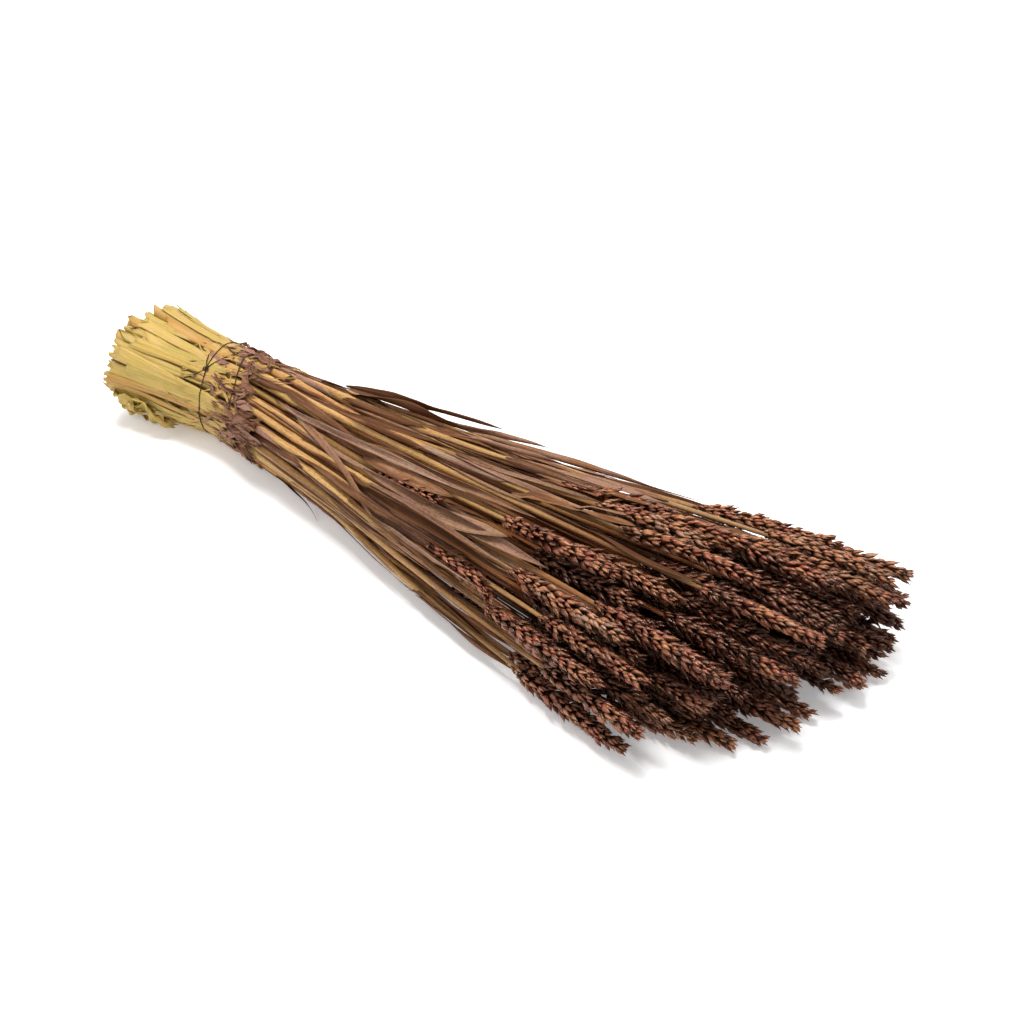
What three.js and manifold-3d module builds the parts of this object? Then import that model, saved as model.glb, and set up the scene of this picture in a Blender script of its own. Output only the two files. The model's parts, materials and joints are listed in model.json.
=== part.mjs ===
// A bundle of dried, dyed wheat lying on its side, held by two turns of thin string.
// Every stalk is one grown piece: a straw, an ear of overlapping scales and, on some, a dry leaf.
// Units are millimetres. X runs from the cut straw ends to the ear tips, Y across, Z up.
// The origin is the middle of the footprint, on the surface the bundle lies on.

import * as THREE from "three";
import { mergeVertices } from "three/addons/utils/BufferGeometryUtils.js";
import Module from "manifold-3d";

const wasm = await Module();
wasm.setup();

// The bundle
const LONGEST_STALK = 612;
const STALKS = 84;
const LEAVES = 28; // on the outermost stalks
const UNEVEN_TIPS = 118; // how much shorter than its neighbours a stalk may be
const EVENNESS = 1.6; // the higher, the more stalks are nearly as long as their neighbours
const LONGEST_SIDE = 0.45; // which side holds the longest stalks, from -1 to 1
const SIDE_LOSS = 40; // how much shorter the stalks are half a bundle's width away from there
const EARLY_SHARE = 0.08; // share of stalks that end well before the others
const EARLY = [80, 190]; // and by how much
const SEED = 3706;

// A straw
const STRAW_RADIUS = 3.2; // with its dry sheath, at the string
const STRAW_TOP_RADIUS = 1.5; // just under the ear
const STRAW_KNOTS = [0, 0.11, 0.22, 0.34, 0.52, 0.76, 1]; // where it may bend, from cut end to ear
const RAGGED_CUT = 13; // how far the cut ends differ

// An ear
const EAR_LENGTH = [84, 102];
const EAR_RADIUS = 7.3; // to the tips of its scales
const EAR_CORE = 0.56; // radius of the core, as a share of EAR_RADIUS
const EAR_FLATNESS = 0.86; // thickness over width
const EAR_FILLED = [0.16, 0.72]; // the shares of its length between which its scales are fullest
const EAR_ENDS = [0.45, 0.5]; // how full they are at its foot and at its top
const EAR_LEAD = 0.06; // share of its length before its foot where it already needs its room
const SCALE_ROWS = 10;
const TOP_ROWS = 2.2; // length of the ear's top, in rows
const SCALE_LEAN = 1.3; // how far a scale's tip lies past its row, in rows
const TOP_SCALE = { lean: 0.9, reach: 0.36 }; // the same for the top row, and its share of EAR_RADIUS
const SIDES = 3; // a straw is a three-sided rod, and an ear has three scales in a row

// A leaf
const LEAF_LENGTH = [110, 200];
const LEAF_START = [140, 290];
const LEAF_PAST_FOOT = 20; // how far past the foot of its stalk's ear it may end
const LEAF_HALF_WIDTH = 4;
const LEAF_MARGIN = 0.92; // share of the room it keeps that it fills
const LEAF_LEAST = { room: 0.4, width: 0.3 }; // towards its ends, as shares of LEAF_HALF_WIDTH
const LEAF_WIDENING = { from: 0.12, roundness: 0.7 }; // its outline is a part of a sine arch
const LEAF_KEEL = 1.3;
const LEAF_BANDS = 6;
const LEAF_TILT = 0.5; // how far it may turn about itself
const LEAF_ROOT = 0.2; // how far out in its straw it begins, in straw radii
const LEAF_OUTSIDE = 1.03; // how much further out than its straw it lies at first

// The string
const NECK = 100; // distance from the cut ends to the middle of the tie
const STRING_RADIUS = 0.8;
const STRING_TURNS = [
  { middle: -16, lean: 9 },
  { middle: 8, lean: 19 },
]; // each turn's middle from NECK, and how far it leans along the bundle
const STRING_STEPS = 28;
const STRING_SIDES = 4;
const KNOT_ANGLE = 2.12; // round the bundle, from +Y towards +Z
const CROSSING_ANGLE = 1.25; // where the string reaches its second turn
const CROSSING_STEPS = 6;
const KNOT_RADIUS = 1.9;
const KNOT_STEPS = 6;
const TAIL_LENGTH = 17;
const TAILS = [
  { along: -0.75, round: 0.7 },
  { along: -0.35, round: -0.7 },
]; // where each tail points, along the bundle and round it, as shares of its length

// How the stalks lie
const SECTION = 10; // spacing of the sections at which the stalks push each other apart
const GAP = 0.35; // what neighbours keep free between them
const ROUNDS = 480;
const LAST_ROUNDS = 240; // the last of them only push
const STIFFNESS = 0.3; // share of a bend that a round takes out
const PUSH = 0.4; // share of a missing distance by which a round moves each neighbour
const SINKING = 0.015; // how far the ears sink in a round
const SLACK_BEYOND = 280; // the stalks lie as they like this far past the tie
const GRIP = { anywhere: 0.1, atString: 0.5, reach: 60 }; // how firmly the outline holds them
const GRIP_INSET = 0.85; // how deep in the outline a strand lies, in its radii
const STRING_ROOM = 1.6; // what the straws leave free under them at the tie, in string radii
const PAIR_SPACING = 1.3; // distance between a pair's straws at the tie, in straw radii
const PAIR_REACH = 26; // how far from the tie a pair stays together
const PAIR_PARTING = 50; // the length over which its straws then part
const LEAF_SPACING = 0.3; // distance of a leaf's foot from its straw, in straw radii
const LEAF_PARTING = 40;
const NECK_FILL = 0.75; // share of the bundle's section that straws fill at the tie
const GOLDEN_ANGLE = Math.PI * (3 - Math.sqrt(5));
const JOINED_RINGS = [5, 8, 13]; // pairs in each ring of inner stalks, from the middle out
const FLAT_SPOT = 1.15; // what lies lower than this is pressed flat on the surface

const CORNER = 2 / Math.sqrt(3); // a triangle's corner, over the radius that it keeps free
const neckRadius = STRAW_RADIUS * Math.sqrt(STALKS / NECK_FILL);
const sections = Array.from({ length: Math.ceil(LONGEST_STALK / SECTION) + 1 }, (_, k) => k * SECTION);

// Distance from the cut ends, half the width and height there, and how far aside the middle lies
const OUTLINE = [
  [0, 1.28 * neckRadius, 1.2 * neckRadius, -7],
  [60, 1.06 * neckRadius, 1.02 * neckRadius, -2],
  [NECK, neckRadius, neckRadius, 0],
  [200, 47, 44, 0],
  [330, 73, 46, 0],
  [460, 100, 46, 0],
  [LONGEST_STALK, 124, 44, 0],
];

// Repeatable draws
let draws = SEED;
function draw(low, high) {
  draws = (draws * 16807) % 2147483647;
  return low + ((high - low) * (draws - 1)) / 2147483646;
}

const clamp = (value) => Math.min(1, Math.max(0, value));
const mix = (a, b, share) => a + (b - a) * share;

function outline(x) {
  let i = 1;
  while (i < OUTLINE.length - 1 && OUTLINE[i][0] < x) i += 1;
  const [a, b] = [OUTLINE[i - 1], OUTLINE[i]];
  const share = clamp((x - a[0]) / (b[0] - a[0]));
  const [halfWidth, halfHeight, aside] = [1, 2, 3].map((column) => mix(a[column], b[column], share));
  return { halfWidth, halfHeight, aside, middle: halfHeight + 2 * STRING_RADIUS };
}

// Rises fast over the lowest scales, stays full, and narrows to the top scale
function earFullness(share) {
  const [filled, narrowing] = EAR_FILLED;
  const [atFoot, atTop] = EAR_ENDS;
  if (share < filled) return mix(atFoot, 1, share / filled);
  if (share < narrowing) return 1;
  return mix(1, atTop, clamp((share - narrowing) / (1 - narrowing)));
}

function leafFullness(share) {
  const { from, roundness } = LEAF_WIDENING;
  return Math.pow(Math.sin(Math.PI * mix(from, 1, clamp(share))), roundness);
}

// A stalk's place on a disc, and its own lengths. Those near LONGEST_SIDE are the longest.
function growStalk(rank) {
  const reach = Math.sqrt((rank + 0.5) / STALKS);
  const angle = rank * GOLDEN_ANGLE;
  const side = reach * Math.cos(angle);
  const up = reach * Math.sin(angle);
  const cut = draw(0, RAGGED_CUT);
  const earLength = draw(...EAR_LENGTH);
  const uneven = UNEVEN_TIPS * Math.pow(draw(0, 1), EVENNESS);
  const shorter = uneven + SIDE_LOSS * Math.pow(side - LONGEST_SIDE, 2);
  const early = draw(0, 1) < EARLY_SHARE ? draw(...EARLY) : 0;
  const tip = LONGEST_STALK - shorter - early;
  const earBase = tip - earLength;
  const x = [...STRAW_KNOTS.map((share) => mix(cut, earBase, share)), mix(earBase, tip, 0.5), tip];
  return { rank, side, up, x, cut, earBase, tip, roll: draw(0, Math.PI) };
}

function strawRadius(stalk, x) {
  return mix(STRAW_RADIUS, STRAW_TOP_RADIUS, clamp((x - NECK) / (stalk.earBase - NECK)));
}

function stalkRadius(stalk, x) {
  if (x < stalk.cut - SECTION || x > stalk.tip + SECTION / 2) return 0;
  const straw = strawRadius(stalk, x);
  const share = (x - stalk.earBase) / (stalk.tip - stalk.earBase);
  if (share < -EAR_LEAD) return straw;
  return Math.max(straw, EAR_RADIUS * earFullness(share));
}

function growLeaf(stalk) {
  const start = draw(...LEAF_START);
  const end = Math.min(start + draw(...LEAF_LENGTH), stalk.earBase + LEAF_PAST_FOOT);
  const x = Array.from({ length: LEAF_BANDS + 1 }, (_, i) => mix(start, end, i / LEAF_BANDS));
  const side = LEAF_OUTSIDE * stalk.side;
  const up = LEAF_OUTSIDE * stalk.up;
  return { stalk, side, up, x, start, end, tilt: draw(-LEAF_TILT, LEAF_TILT) };
}

function leafRadius(leaf, x) {
  if (x < leaf.start || x > leaf.end + SECTION / 2) return 0;
  const share = (x - leaf.start) / (leaf.end - leaf.start);
  return LEAF_HALF_WIDTH * Math.max(LEAF_LEAST.room, leafFullness(share));
}

// In each ring every stalk of the inner half grows against a neighbour of the outer half
function pairUp(stalks) {
  let first = 0;
  for (const pairs of JOINED_RINGS) {
    for (let rank = first; rank < first + pairs; rank += 1) {
      stalks[rank].partner = stalks[rank + pairs];
      stalks[rank + pairs].partner = stalks[rank];
    }
    first += 2 * pairs;
  }
}

// Lets the strands push each other apart at every section while they stay nearly straight,
// are drawn together at the string, and sink until they meet the surface or one another.
function settle(strands) {
  for (const strand of strands) {
    strand.y = strand.x.map((x) => strand.side * outline(x).halfWidth + outline(x).aside);
    strand.z = strand.x.map((x) => strand.up * outline(x).halfHeight + outline(x).middle);
    strand.radius = sections.map(strand.radiusAt);
    strand.spans = sections.map((x) => spanAt(strand, x));
  }
  for (let round = 0; round < ROUNDS; round += 1) {
    const onlyPush = round >= ROUNDS - LAST_ROUNDS;
    if (!onlyPush) strands.forEach(straighten);
    sections.forEach((_, k) => pushApart(strands, k, onlyPush));
    for (const strand of strands) if (strand.stalk) rootLeaf(strand);
  }
}

// The knots on either side of x, and how far x lies between them
function spanAt({ x: knots }, x) {
  let i = 0;
  while (i < knots.length - 2 && knots[i + 1] < x) i += 1;
  return { i, share: (x - knots[i]) / (knots[i + 1] - knots[i]) };
}

function placeAt(strand, x) {
  const { i, share } = spanAt(strand, x);
  return { y: mix(strand.y[i], strand.y[i + 1], share), z: mix(strand.z[i], strand.z[i + 1], share) };
}

function straighten({ x, y, z }) {
  for (let i = 1; i < x.length - 1; i += 1) {
    const share = (x[i] - x[i - 1]) / (x[i + 1] - x[i - 1]);
    for (const line of [y, z]) line[i] = mix(line[i], mix(line[i - 1], line[i + 1], share), STIFFNESS);
  }
}

// A leaf begins just inside its straw
function rootLeaf(leaf) {
  const straw = placeAt(leaf.stalk, leaf.start);
  const out = Math.atan2(straw.z - outline(leaf.start).middle, straw.y);
  leaf.y[0] = straw.y + LEAF_ROOT * STRAW_RADIUS * Math.cos(out);
  leaf.z[0] = straw.z + LEAF_ROOT * STRAW_RADIUS * Math.sin(out);
}

// How near two strands may come at distance x, and whether they are held there
function spacing(a, b, x, apart) {
  if (a.partner === b) {
    const away = Math.abs(x - NECK) - PAIR_REACH;
    const parted = clamp(away / PAIR_PARTING);
    return { wanted: mix(PAIR_SPACING * STRAW_RADIUS, apart, parted), held: away <= 0 };
  }
  if (a.stalk === b || b.stalk === a) {
    const leaf = a.stalk ? a : b;
    const parted = clamp((x - leaf.start) / LEAF_PARTING);
    return { wanted: mix(LEAF_SPACING * STRAW_RADIUS, apart, parted), held: false };
  }
  return { wanted: apart, held: false };
}

function pushApart(strands, k, onlyPush) {
  const x = sections[k];
  const here = strands.filter((strand) => strand.radius[k] > 0);
  const middles = here.map((strand) => placeAt(strand, x));
  const move = (n, dy, dz) => {
    const { i, share } = here[n].spans[k];
    const near = 1 - share;
    const weight = near * near + share * share;
    here[n].y[i] += (dy * near) / weight;
    here[n].y[i + 1] += (dy * share) / weight;
    here[n].z[i] += (dz * near) / weight;
    here[n].z[i + 1] += (dz * share) / weight;
    middles[n].y += dy;
    middles[n].z += dz;
  };
  here.forEach((a, i) => {
    for (let j = i + 1; j < here.length; j += 1) {
      const b = here[j];
      const dy = middles[i].y - middles[j].y;
      const dz = middles[i].z - middles[j].z;
      const free = a.radius[k] + b.radius[k] + GAP;
      const apart = Math.hypot(dy, dz) + 1e-9;
      if (apart >= free && a.partner !== b) continue;
      const { wanted, held } = spacing(a, b, x, free);
      if (apart >= wanted && !held) continue;
      const push = (PUSH * (wanted - apart)) / apart;
      move(i, push * dy, push * dz);
      move(j, -push * dy, -push * dz);
    }
  });
  // The string's grip, and the surface below
  const { halfWidth, halfHeight, aside, middle } = outline(x);
  const nearString = Math.exp(-Math.pow((x - NECK) / GRIP.reach, 2));
  const grip = GRIP.anywhere + GRIP.atString * nearString;
  const slack = clamp((x - NECK) / SLACK_BEYOND);
  here.forEach((strand, n) => {
    const inset = GRIP_INSET * strand.radius[k];
    const y = middles[n].y - aside;
    const { z } = middles[n];
    const rise = z > middle ? z - middle : (z - middle) * (1 - slack);
    const out = Math.hypot(y / (halfWidth - inset), rise / (halfHeight - inset));
    if (out > 1) move(n, grip * y * (1 / out - 1), grip * rise * (1 / out - 1));
    if (!onlyPush) move(n, 0, -SINKING * slack);
    const low = strand.radius[k] + GAP + STRING_ROOM * STRING_RADIUS * nearString - middles[n].z;
    if (low > 0) move(n, 0, low);
  });
}

// A closed surface given by its corners and its triangles
class Surface {
  constructor() {
    this.corners = [];
    this.faces = [];
  }
  corner(x, y, z) {
    this.corners.push(x, y, z);
    return this.corners.length / 3 - 1;
  }
  face(a, b, c) {
    this.faces.push(a, b, c);
  }
  // Joins two rings of corners that face each other
  band(near, far) {
    near.forEach((a, i) => {
      const b = near[(i + 1) % near.length];
      this.face(a, b, far[i]);
      this.face(b, far[(i + 1) % far.length], far[i]);
    });
  }
  cap(ring) {
    for (let i = 2; i < ring.length; i += 1) this.face(ring[0], ring[i - 1], ring[i]);
  }
  geometry() {
    const geometry = new THREE.BufferGeometry();
    geometry.setAttribute("position", new THREE.Float32BufferAttribute(this.corners, 3));
    geometry.setIndex(this.faces);
    return geometry;
  }
}

function stalkSurface(stalk) {
  const surface = new Surface();
  const { earBase, tip, roll } = stalk;
  const flatten = (angle, radius, flatness) => {
    const across = radius * Math.cos(angle - roll);
    const through = radius * flatness * Math.sin(angle - roll);
    return {
      y: across * Math.cos(roll) - through * Math.sin(roll),
      z: across * Math.sin(roll) + through * Math.cos(roll),
    };
  };
  const point = (x, angle, radius, flatness = 1) => {
    const middle = placeAt(stalk, x);
    const out = flatten(angle, radius, flatness);
    return surface.corner(x, middle.y + out.y, middle.z + out.z);
  };
  // A row's corners start at the top on even rows and half a step later on odd ones
  const turn = (2 * Math.PI) / SIDES;
  const angleOf = (row, i) => Math.PI / 2 + (row % 2 ? turn / 2 : 0) + i * turn;
  const ring = (x, row, radius, flatness) =>
    Array.from({ length: SIDES }, (_, i) => point(x, angleOf(row, i), radius, flatness));

  // The straw, from its cut end to the foot of the ear
  const straw = stalk.x
    .slice(0, STRAW_KNOTS.length)
    .map((x) => ring(x, 0, CORNER * strawRadius(stalk, x)));
  surface.cap([...straw[0]].reverse());
  for (let i = 1; i < straw.length; i += 1) surface.band(straw[i - 1], straw[i]);
  const foot = straw.at(-1);

  // The ear: rows of corners, each turned half a step from the one below, so that every
  // four corners frame one scale, which rises to a tip of its own
  const pitch = (tip - earBase) / (SCALE_ROWS + TOP_ROWS);
  const rows = [foot];
  for (let row = 1; row <= SCALE_ROWS + 1; row += 1) {
    const share = row / (SCALE_ROWS + 2);
    const radius = EAR_CORE * EAR_RADIUS * earFullness(share);
    rows.push(ring(earBase + row * pitch, row, radius, EAR_FLATNESS));
  }
  rows.push(Array(SIDES).fill(point(tip, 0, 0)));
  foot.forEach((a, i) => surface.face(a, foot[(i + 1) % SIDES], rows[1][i]));
  for (let row = 1; row <= SCALE_ROWS + 1; row += 1) {
    for (let i = 0; i < SIDES; i += 1) {
      const left = rows[row][i];
      const right = rows[row][(i + 1) % SIDES];
      // Even rows start level with the row above, odd rows one corner earlier
      const inLine = row % 2 ? (i + 1) % SIDES : i;
      const low = rows[row - 1][inLine];
      const high = rows[row + 1][inLine];
      const angle = angleOf(row, i) + turn / 2;
      const isTopRow = row === SCALE_ROWS + 1;
      const lean = isTopRow ? TOP_SCALE.lean : SCALE_LEAN;
      const reach = isTopRow ? TOP_SCALE.reach : earFullness(row / (SCALE_ROWS + 1));
      const peak = point(earBase + (row + lean) * pitch, angle, EAR_RADIUS * reach, EAR_FLATNESS);
      surface.face(low, right, peak);
      surface.face(right, high, peak);
      surface.face(high, left, peak);
      surface.face(left, low, peak);
    }
  }
  return surface;
}

// A folded strip with a keel, flat side out, that starts inside its straw and ends in a point
function leafSurface(leaf) {
  const surface = new Surface();
  const ring = (x) => {
    const share = (x - leaf.start) / (leaf.end - leaf.start);
    const { y, z } = placeAt(leaf, x);
    const out = Math.atan2(z - outline(x).middle, y) + leaf.tilt * share;
    const half = LEAF_MARGIN * LEAF_HALF_WIDTH * Math.max(LEAF_LEAST.width, leafFullness(share));
    const edge = (way) =>
      surface.corner(x, y - way * half * Math.sin(out), z + way * half * Math.cos(out));
    const keel = surface.corner(x, y - LEAF_KEEL * Math.cos(out), z - LEAF_KEEL * Math.sin(out));
    return [edge(-1), edge(1), keel];
  };
  const rings = leaf.x.slice(0, -1).map(ring);
  surface.cap([...rings[0]].reverse());
  for (let i = 1; i < rings.length; i += 1) surface.band(rings[i - 1], rings[i]);
  const last = rings.at(-1);
  const point = surface.corner(leaf.end, leaf.y.at(-1), leaf.z.at(-1));
  last.forEach((a, i) => surface.face(a, last[(i + 1) % last.length], point));
  return surface;
}

// The point that lies just outside the straws at x, in a direction round the bundle
function onStraws(x, angle, lift = 0) {
  const { middle } = outline(x);
  let reach = 0;
  for (const stalk of stalks) {
    const { y, z } = placeAt(stalk, x);
    for (const corner of [0, 1, 2]) {
      const away = angle - Math.PI / 2 - (corner * 2 * Math.PI) / SIDES;
      const radius = CORNER * strawRadius(stalk, x) * Math.cos(away);
      reach = Math.max(reach, y * Math.cos(angle) + (z - middle) * Math.sin(angle) + radius);
    }
  }
  const out = reach + GAP + STRING_RADIUS + lift;
  return new THREE.Vector3(x, out * Math.cos(angle), middle + out * Math.sin(angle));
}

// A length of string through the points, with one of its flat sides towards the straws
function stringSurface(points, isLoop) {
  const surface = new Surface();
  const count = points.length;
  const rings = points.map((point, i) => {
    const before = points[isLoop ? (i + count - 1) % count : Math.max(0, i - 1)];
    const after = points[isLoop ? (i + 1) % count : Math.min(count - 1, i + 1)];
    const along = after.clone().sub(before).normalize();
    const out = new THREE.Vector3(0, point.y, point.z - outline(point.x).middle);
    const side = along.clone().cross(out).normalize();
    out.crossVectors(side, along);
    return Array.from({ length: STRING_SIDES }, (_, corner) => {
      const angle = ((corner + 0.5) * 2 * Math.PI) / STRING_SIDES;
      const place = point
        .clone()
        .addScaledVector(out, STRING_RADIUS * Math.cos(angle))
        .addScaledVector(side, STRING_RADIUS * Math.sin(angle));
      return surface.corner(place.x, place.y, place.z);
    });
  });
  for (let i = 1; i < count; i += 1) surface.band(rings[i - 1], rings[i]);
  if (isLoop) {
    surface.band(rings.at(-1), rings[0]);
  } else {
    surface.cap([...rings[0]].reverse());
    surface.cap(rings.at(-1));
  }
  return surface;
}

function solidOf(geometry) {
  const bare = geometry.clone();
  for (const name of ["normal", "uv"]) bare.deleteAttribute(name);
  const merged = mergeVertices(bare, 1e-4);
  return new wasm.Manifold(
    new wasm.Mesh({
      numProp: 3,
      vertProperties: new Float32Array(merged.attributes.position.array),
      triVerts: new Uint32Array(merged.index.array),
    }),
  );
}

function geometryOf(solid) {
  const { numProp, numVert, vertProperties, triVerts } = solid.getMesh();
  const geometry = new THREE.BufferGeometry();
  const corners = new Float32Array(numVert * 3);
  for (let i = 0; i < numVert; i += 1)
    corners.set(vertProperties.subarray(i * numProp, i * numProp + 3), i * 3);
  geometry.setAttribute("position", new THREE.BufferAttribute(corners, 3));
  geometry.setIndex(new THREE.BufferAttribute(triVerts, 1));
  geometry.computeVertexNormals();
  return geometry;
}

// The two turns, the length that crosses between them, and the knot with its two tails
function stringSolid() {
  const turnX = ({ middle, lean }, angle) => NECK + middle - lean * Math.cos(angle);
  const [first, second] = STRING_TURNS;
  const loops = [first, second].map((turn) =>
    Array.from({ length: STRING_STEPS }, (_, i) => {
      const angle = KNOT_ANGLE + (i * 2 * Math.PI) / STRING_STEPS;
      return onStraws(turnX(turn, angle), angle);
    }),
  );
  const crossing = Array.from({ length: CROSSING_STEPS + 1 }, (_, i) => {
    const share = i / CROSSING_STEPS;
    const angle = mix(KNOT_ANGLE, CROSSING_ANGLE, share);
    return onStraws(mix(turnX(first, KNOT_ANGLE), turnX(second, CROSSING_ANGLE), share), angle);
  });
  const tails = TAILS.map(({ along, round }) =>
    [0, 0.5, 1].map((share) => {
      const length = TAIL_LENGTH * share;
      const angle = KNOT_ANGLE + (length * round) / neckRadius;
      return onStraws(turnX(first, KNOT_ANGLE) + length * along, angle, share * STRING_RADIUS);
    }),
  );
  const centre = onStraws(turnX(first, KNOT_ANGLE), KNOT_ANGLE, KNOT_RADIUS / 2);
  const knot = Array.from({ length: KNOT_STEPS }, (_, i) => {
    const angle = (i * 2 * Math.PI) / KNOT_STEPS;
    const across = new THREE.Vector3(0, Math.sin(KNOT_ANGLE), -Math.cos(KNOT_ANGLE));
    return centre
      .clone()
      .addScaledVector(across, KNOT_RADIUS * Math.cos(angle))
      .add(new THREE.Vector3(KNOT_RADIUS * Math.sin(angle), 0, 0));
  });
  return [
    ...loops.map((loop) => stringSurface(loop, true)),
    stringSurface(knot, true),
    stringSurface(crossing, false),
    ...tails.map((tail) => stringSurface(tail, false)),
  ]
    .map((surface) => solidOf(surface.geometry()))
    .reduce((whole, solid) => whole.add(solid));
}

const stalks = Array.from({ length: STALKS }, (_, rank) => growStalk(rank));
pairUp(stalks);
const leaves = stalks.slice(-LEAVES).map(growLeaf);
for (const stalk of stalks) stalk.radiusAt = (x) => stalkRadius(stalk, x);
for (const leaf of leaves) leaf.radiusAt = (x) => leafRadius(leaf, x);
settle([...stalks, ...leaves]);

const wheat = new THREE.MeshStandardMaterial({ color: 0x7a4a32, roughness: 0.8, metalness: 0 });
const twine = new THREE.MeshStandardMaterial({ color: 0x5c4034, roughness: 0.9, metalness: 0 });
const bundle = new THREE.Group();

// What stands for the surface that the bundle lies on, up to FLAT_SPOT
const slabHeight = 20;
const below = new THREE.BoxGeometry(3 * LONGEST_STALK, LONGEST_STALK, slabHeight);
below.translate(0, 0, FLAT_SPOT - slabHeight / 2);
const surfaceBelow = solidOf(below);

function addMesh(name, solid, material) {
  const isLow = solid.boundingBox().min[2] < FLAT_SPOT;
  const mesh = new THREE.Mesh(geometryOf(isLow ? solid.subtract(surfaceBelow) : solid), material);
  mesh.name = name;
  bundle.add(mesh);
}

function addStalks() {
  const leafOn = new Map(leaves.map((leaf) => [leaf.stalk, leaf]));
  const solids = stalks.map((stalk) => {
    const solid = solidOf(stalkSurface(stalk).geometry());
    const leaf = leafOn.get(stalk);
    return leaf ? solid.add(solidOf(leafSurface(leaf).geometry())) : solid;
  });
  const label = ({ rank }) => String(rank + 1).padStart(2, "0");
  for (const stalk of stalks) {
    const { rank, partner } = stalk;
    if (!partner) addMesh(`stalk_${label(stalk)}`, solids[rank], wheat);
    else if (partner.rank > rank) {
      const pair = solids[rank].add(solids[partner.rank]);
      addMesh(`stalks_${label(stalk)}_${label(partner)}`, pair, wheat);
    }
  }
}

addStalks();
addMesh("string", stringSolid(), twine);

// The origin goes to the middle of the footprint
const box = new THREE.Box3().setFromObject(bundle);
const middle = box.getCenter(new THREE.Vector3());
bundle.position.set(-middle.x, -middle.y, -box.min.z);

export default bundle;
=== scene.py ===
import json
import math
from typing import NamedTuple

import bpy
import numpy as np
from bpy.props import FloatProperty, FloatVectorProperty, IntProperty, PointerProperty
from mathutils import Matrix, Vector

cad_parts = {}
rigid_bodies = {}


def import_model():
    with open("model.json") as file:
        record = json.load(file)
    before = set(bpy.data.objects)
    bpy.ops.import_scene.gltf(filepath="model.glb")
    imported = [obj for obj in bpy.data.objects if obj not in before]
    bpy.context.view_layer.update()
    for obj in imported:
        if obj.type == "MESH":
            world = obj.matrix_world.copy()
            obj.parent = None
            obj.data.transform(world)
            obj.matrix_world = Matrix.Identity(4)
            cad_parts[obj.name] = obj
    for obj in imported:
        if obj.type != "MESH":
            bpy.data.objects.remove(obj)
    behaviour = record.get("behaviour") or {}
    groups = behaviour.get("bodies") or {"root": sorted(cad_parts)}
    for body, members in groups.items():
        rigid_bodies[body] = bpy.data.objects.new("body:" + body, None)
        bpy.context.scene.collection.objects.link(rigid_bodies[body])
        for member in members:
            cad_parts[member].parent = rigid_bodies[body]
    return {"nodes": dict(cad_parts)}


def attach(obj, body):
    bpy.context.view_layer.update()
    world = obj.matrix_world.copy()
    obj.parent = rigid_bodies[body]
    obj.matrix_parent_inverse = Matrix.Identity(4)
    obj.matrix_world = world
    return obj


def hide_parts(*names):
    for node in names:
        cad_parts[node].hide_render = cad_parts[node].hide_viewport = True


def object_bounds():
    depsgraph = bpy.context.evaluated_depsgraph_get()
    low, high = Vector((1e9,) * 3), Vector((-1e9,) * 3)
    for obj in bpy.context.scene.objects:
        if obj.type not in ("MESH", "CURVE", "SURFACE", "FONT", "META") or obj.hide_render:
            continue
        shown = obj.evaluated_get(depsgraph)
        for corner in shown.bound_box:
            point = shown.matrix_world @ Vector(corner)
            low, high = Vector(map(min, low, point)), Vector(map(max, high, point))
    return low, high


bl_info = {
    "name": "Dried Wheat Bundle",
    "version": (1, 0, 0),
    "blender": (4, 5, 0),
    "location": "3D View > Sidebar > Wheat",
    "description": "Dresses a bundle of dried wheat: straws, ears, dry leaves and the string that ties it",
    "category": "Add Mesh",
}

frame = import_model()
CAD_LOW, CAD_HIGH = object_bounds()
MM = 0.001  # lengths below are in millimetres unless a name says otherwise

# How the stalks of the frame grew: the same draws and driving dimensions as the solids
LONGEST_STALK = 612
STALKS = 84
LEAVES = 28
UNEVEN_TIPS = 118
EVENNESS = 1.6
LONGEST_SIDE = 0.45
SIDE_LOSS = 40
EARLY_SHARE = 0.08
EARLY = (80, 190)
SEED = 3706
STRAW_RADIUS = 3.2
STRAW_TOP_RADIUS = 1.5
STRAW_KNOTS = (0, 0.11, 0.22, 0.34, 0.52, 0.76, 1)
RAGGED_CUT = 13
EAR_LENGTH = (84, 102)
EAR_RADIUS = 7.3
SCALE_ROWS = 10
TOP_ROWS = 2.2
MIDDLE_ROW = 6  # the row of scales next to the middle of an ear
LEAF_LENGTH = (110, 200)
LEAF_START = (140, 290)
LEAF_PAST_FOOT = 20
LEAF_TILT = 0.5
LEAF_BANDS = 6
NECK = 100
STRING_TURNS = ((-16, 9), (8, 19))  # each turn's middle from the neck, and its lean along the bundle
KNOT_ANGLE = 2.12
CROSSING_ANGLE = 1.25
GOLDEN_ANGLE = math.pi * (3 - math.sqrt(5))
JOINED_RINGS = (5, 8, 13)
CORNER = 2 / math.sqrt(3)  # from a straw's middle to its corner, over its radius
CORNER_WAYS = np.array([[math.cos(a), math.sin(a)] for a in np.radians([90, 210, 330])])

# How exactly a corner of the frame is found again, and what was cut off where the bundle rests
SAME_PLACE, CORNER_MISS, CUT_OFF = 0.004, 0.02, 0.002

# Painted shade: how the colour is darkened deep inside the bundle and against a neighbouring stalk, where
# shade falls
CREVICE = 1.5  # how far a stalk's neighbour darkens it with painted shade
CLEAR_DEPTH, DARK_DEPTH = 3.0, 14.0  # it starts this deep, and is full this much further in

# Thicknesses of the dry sheets, and the bundle's radius where their widths are turned into angles
LEAF_THICKNESS, BLADE_THICKNESS, BAND_THICKNESS, SCRAP_THICKNESS = 0.22, 0.26, 0.35, 0.2
BAND_REACH, SCRAP_REACH, KNOT_REACH = 37, 36, 34
OUTER_DEPTH = 5.5  # a stalk whose cut end lies less deep than this has broad sheaths
PRESSED_WIDTH = 9  # how near to a turn of the string it presses flat what lies there

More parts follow.
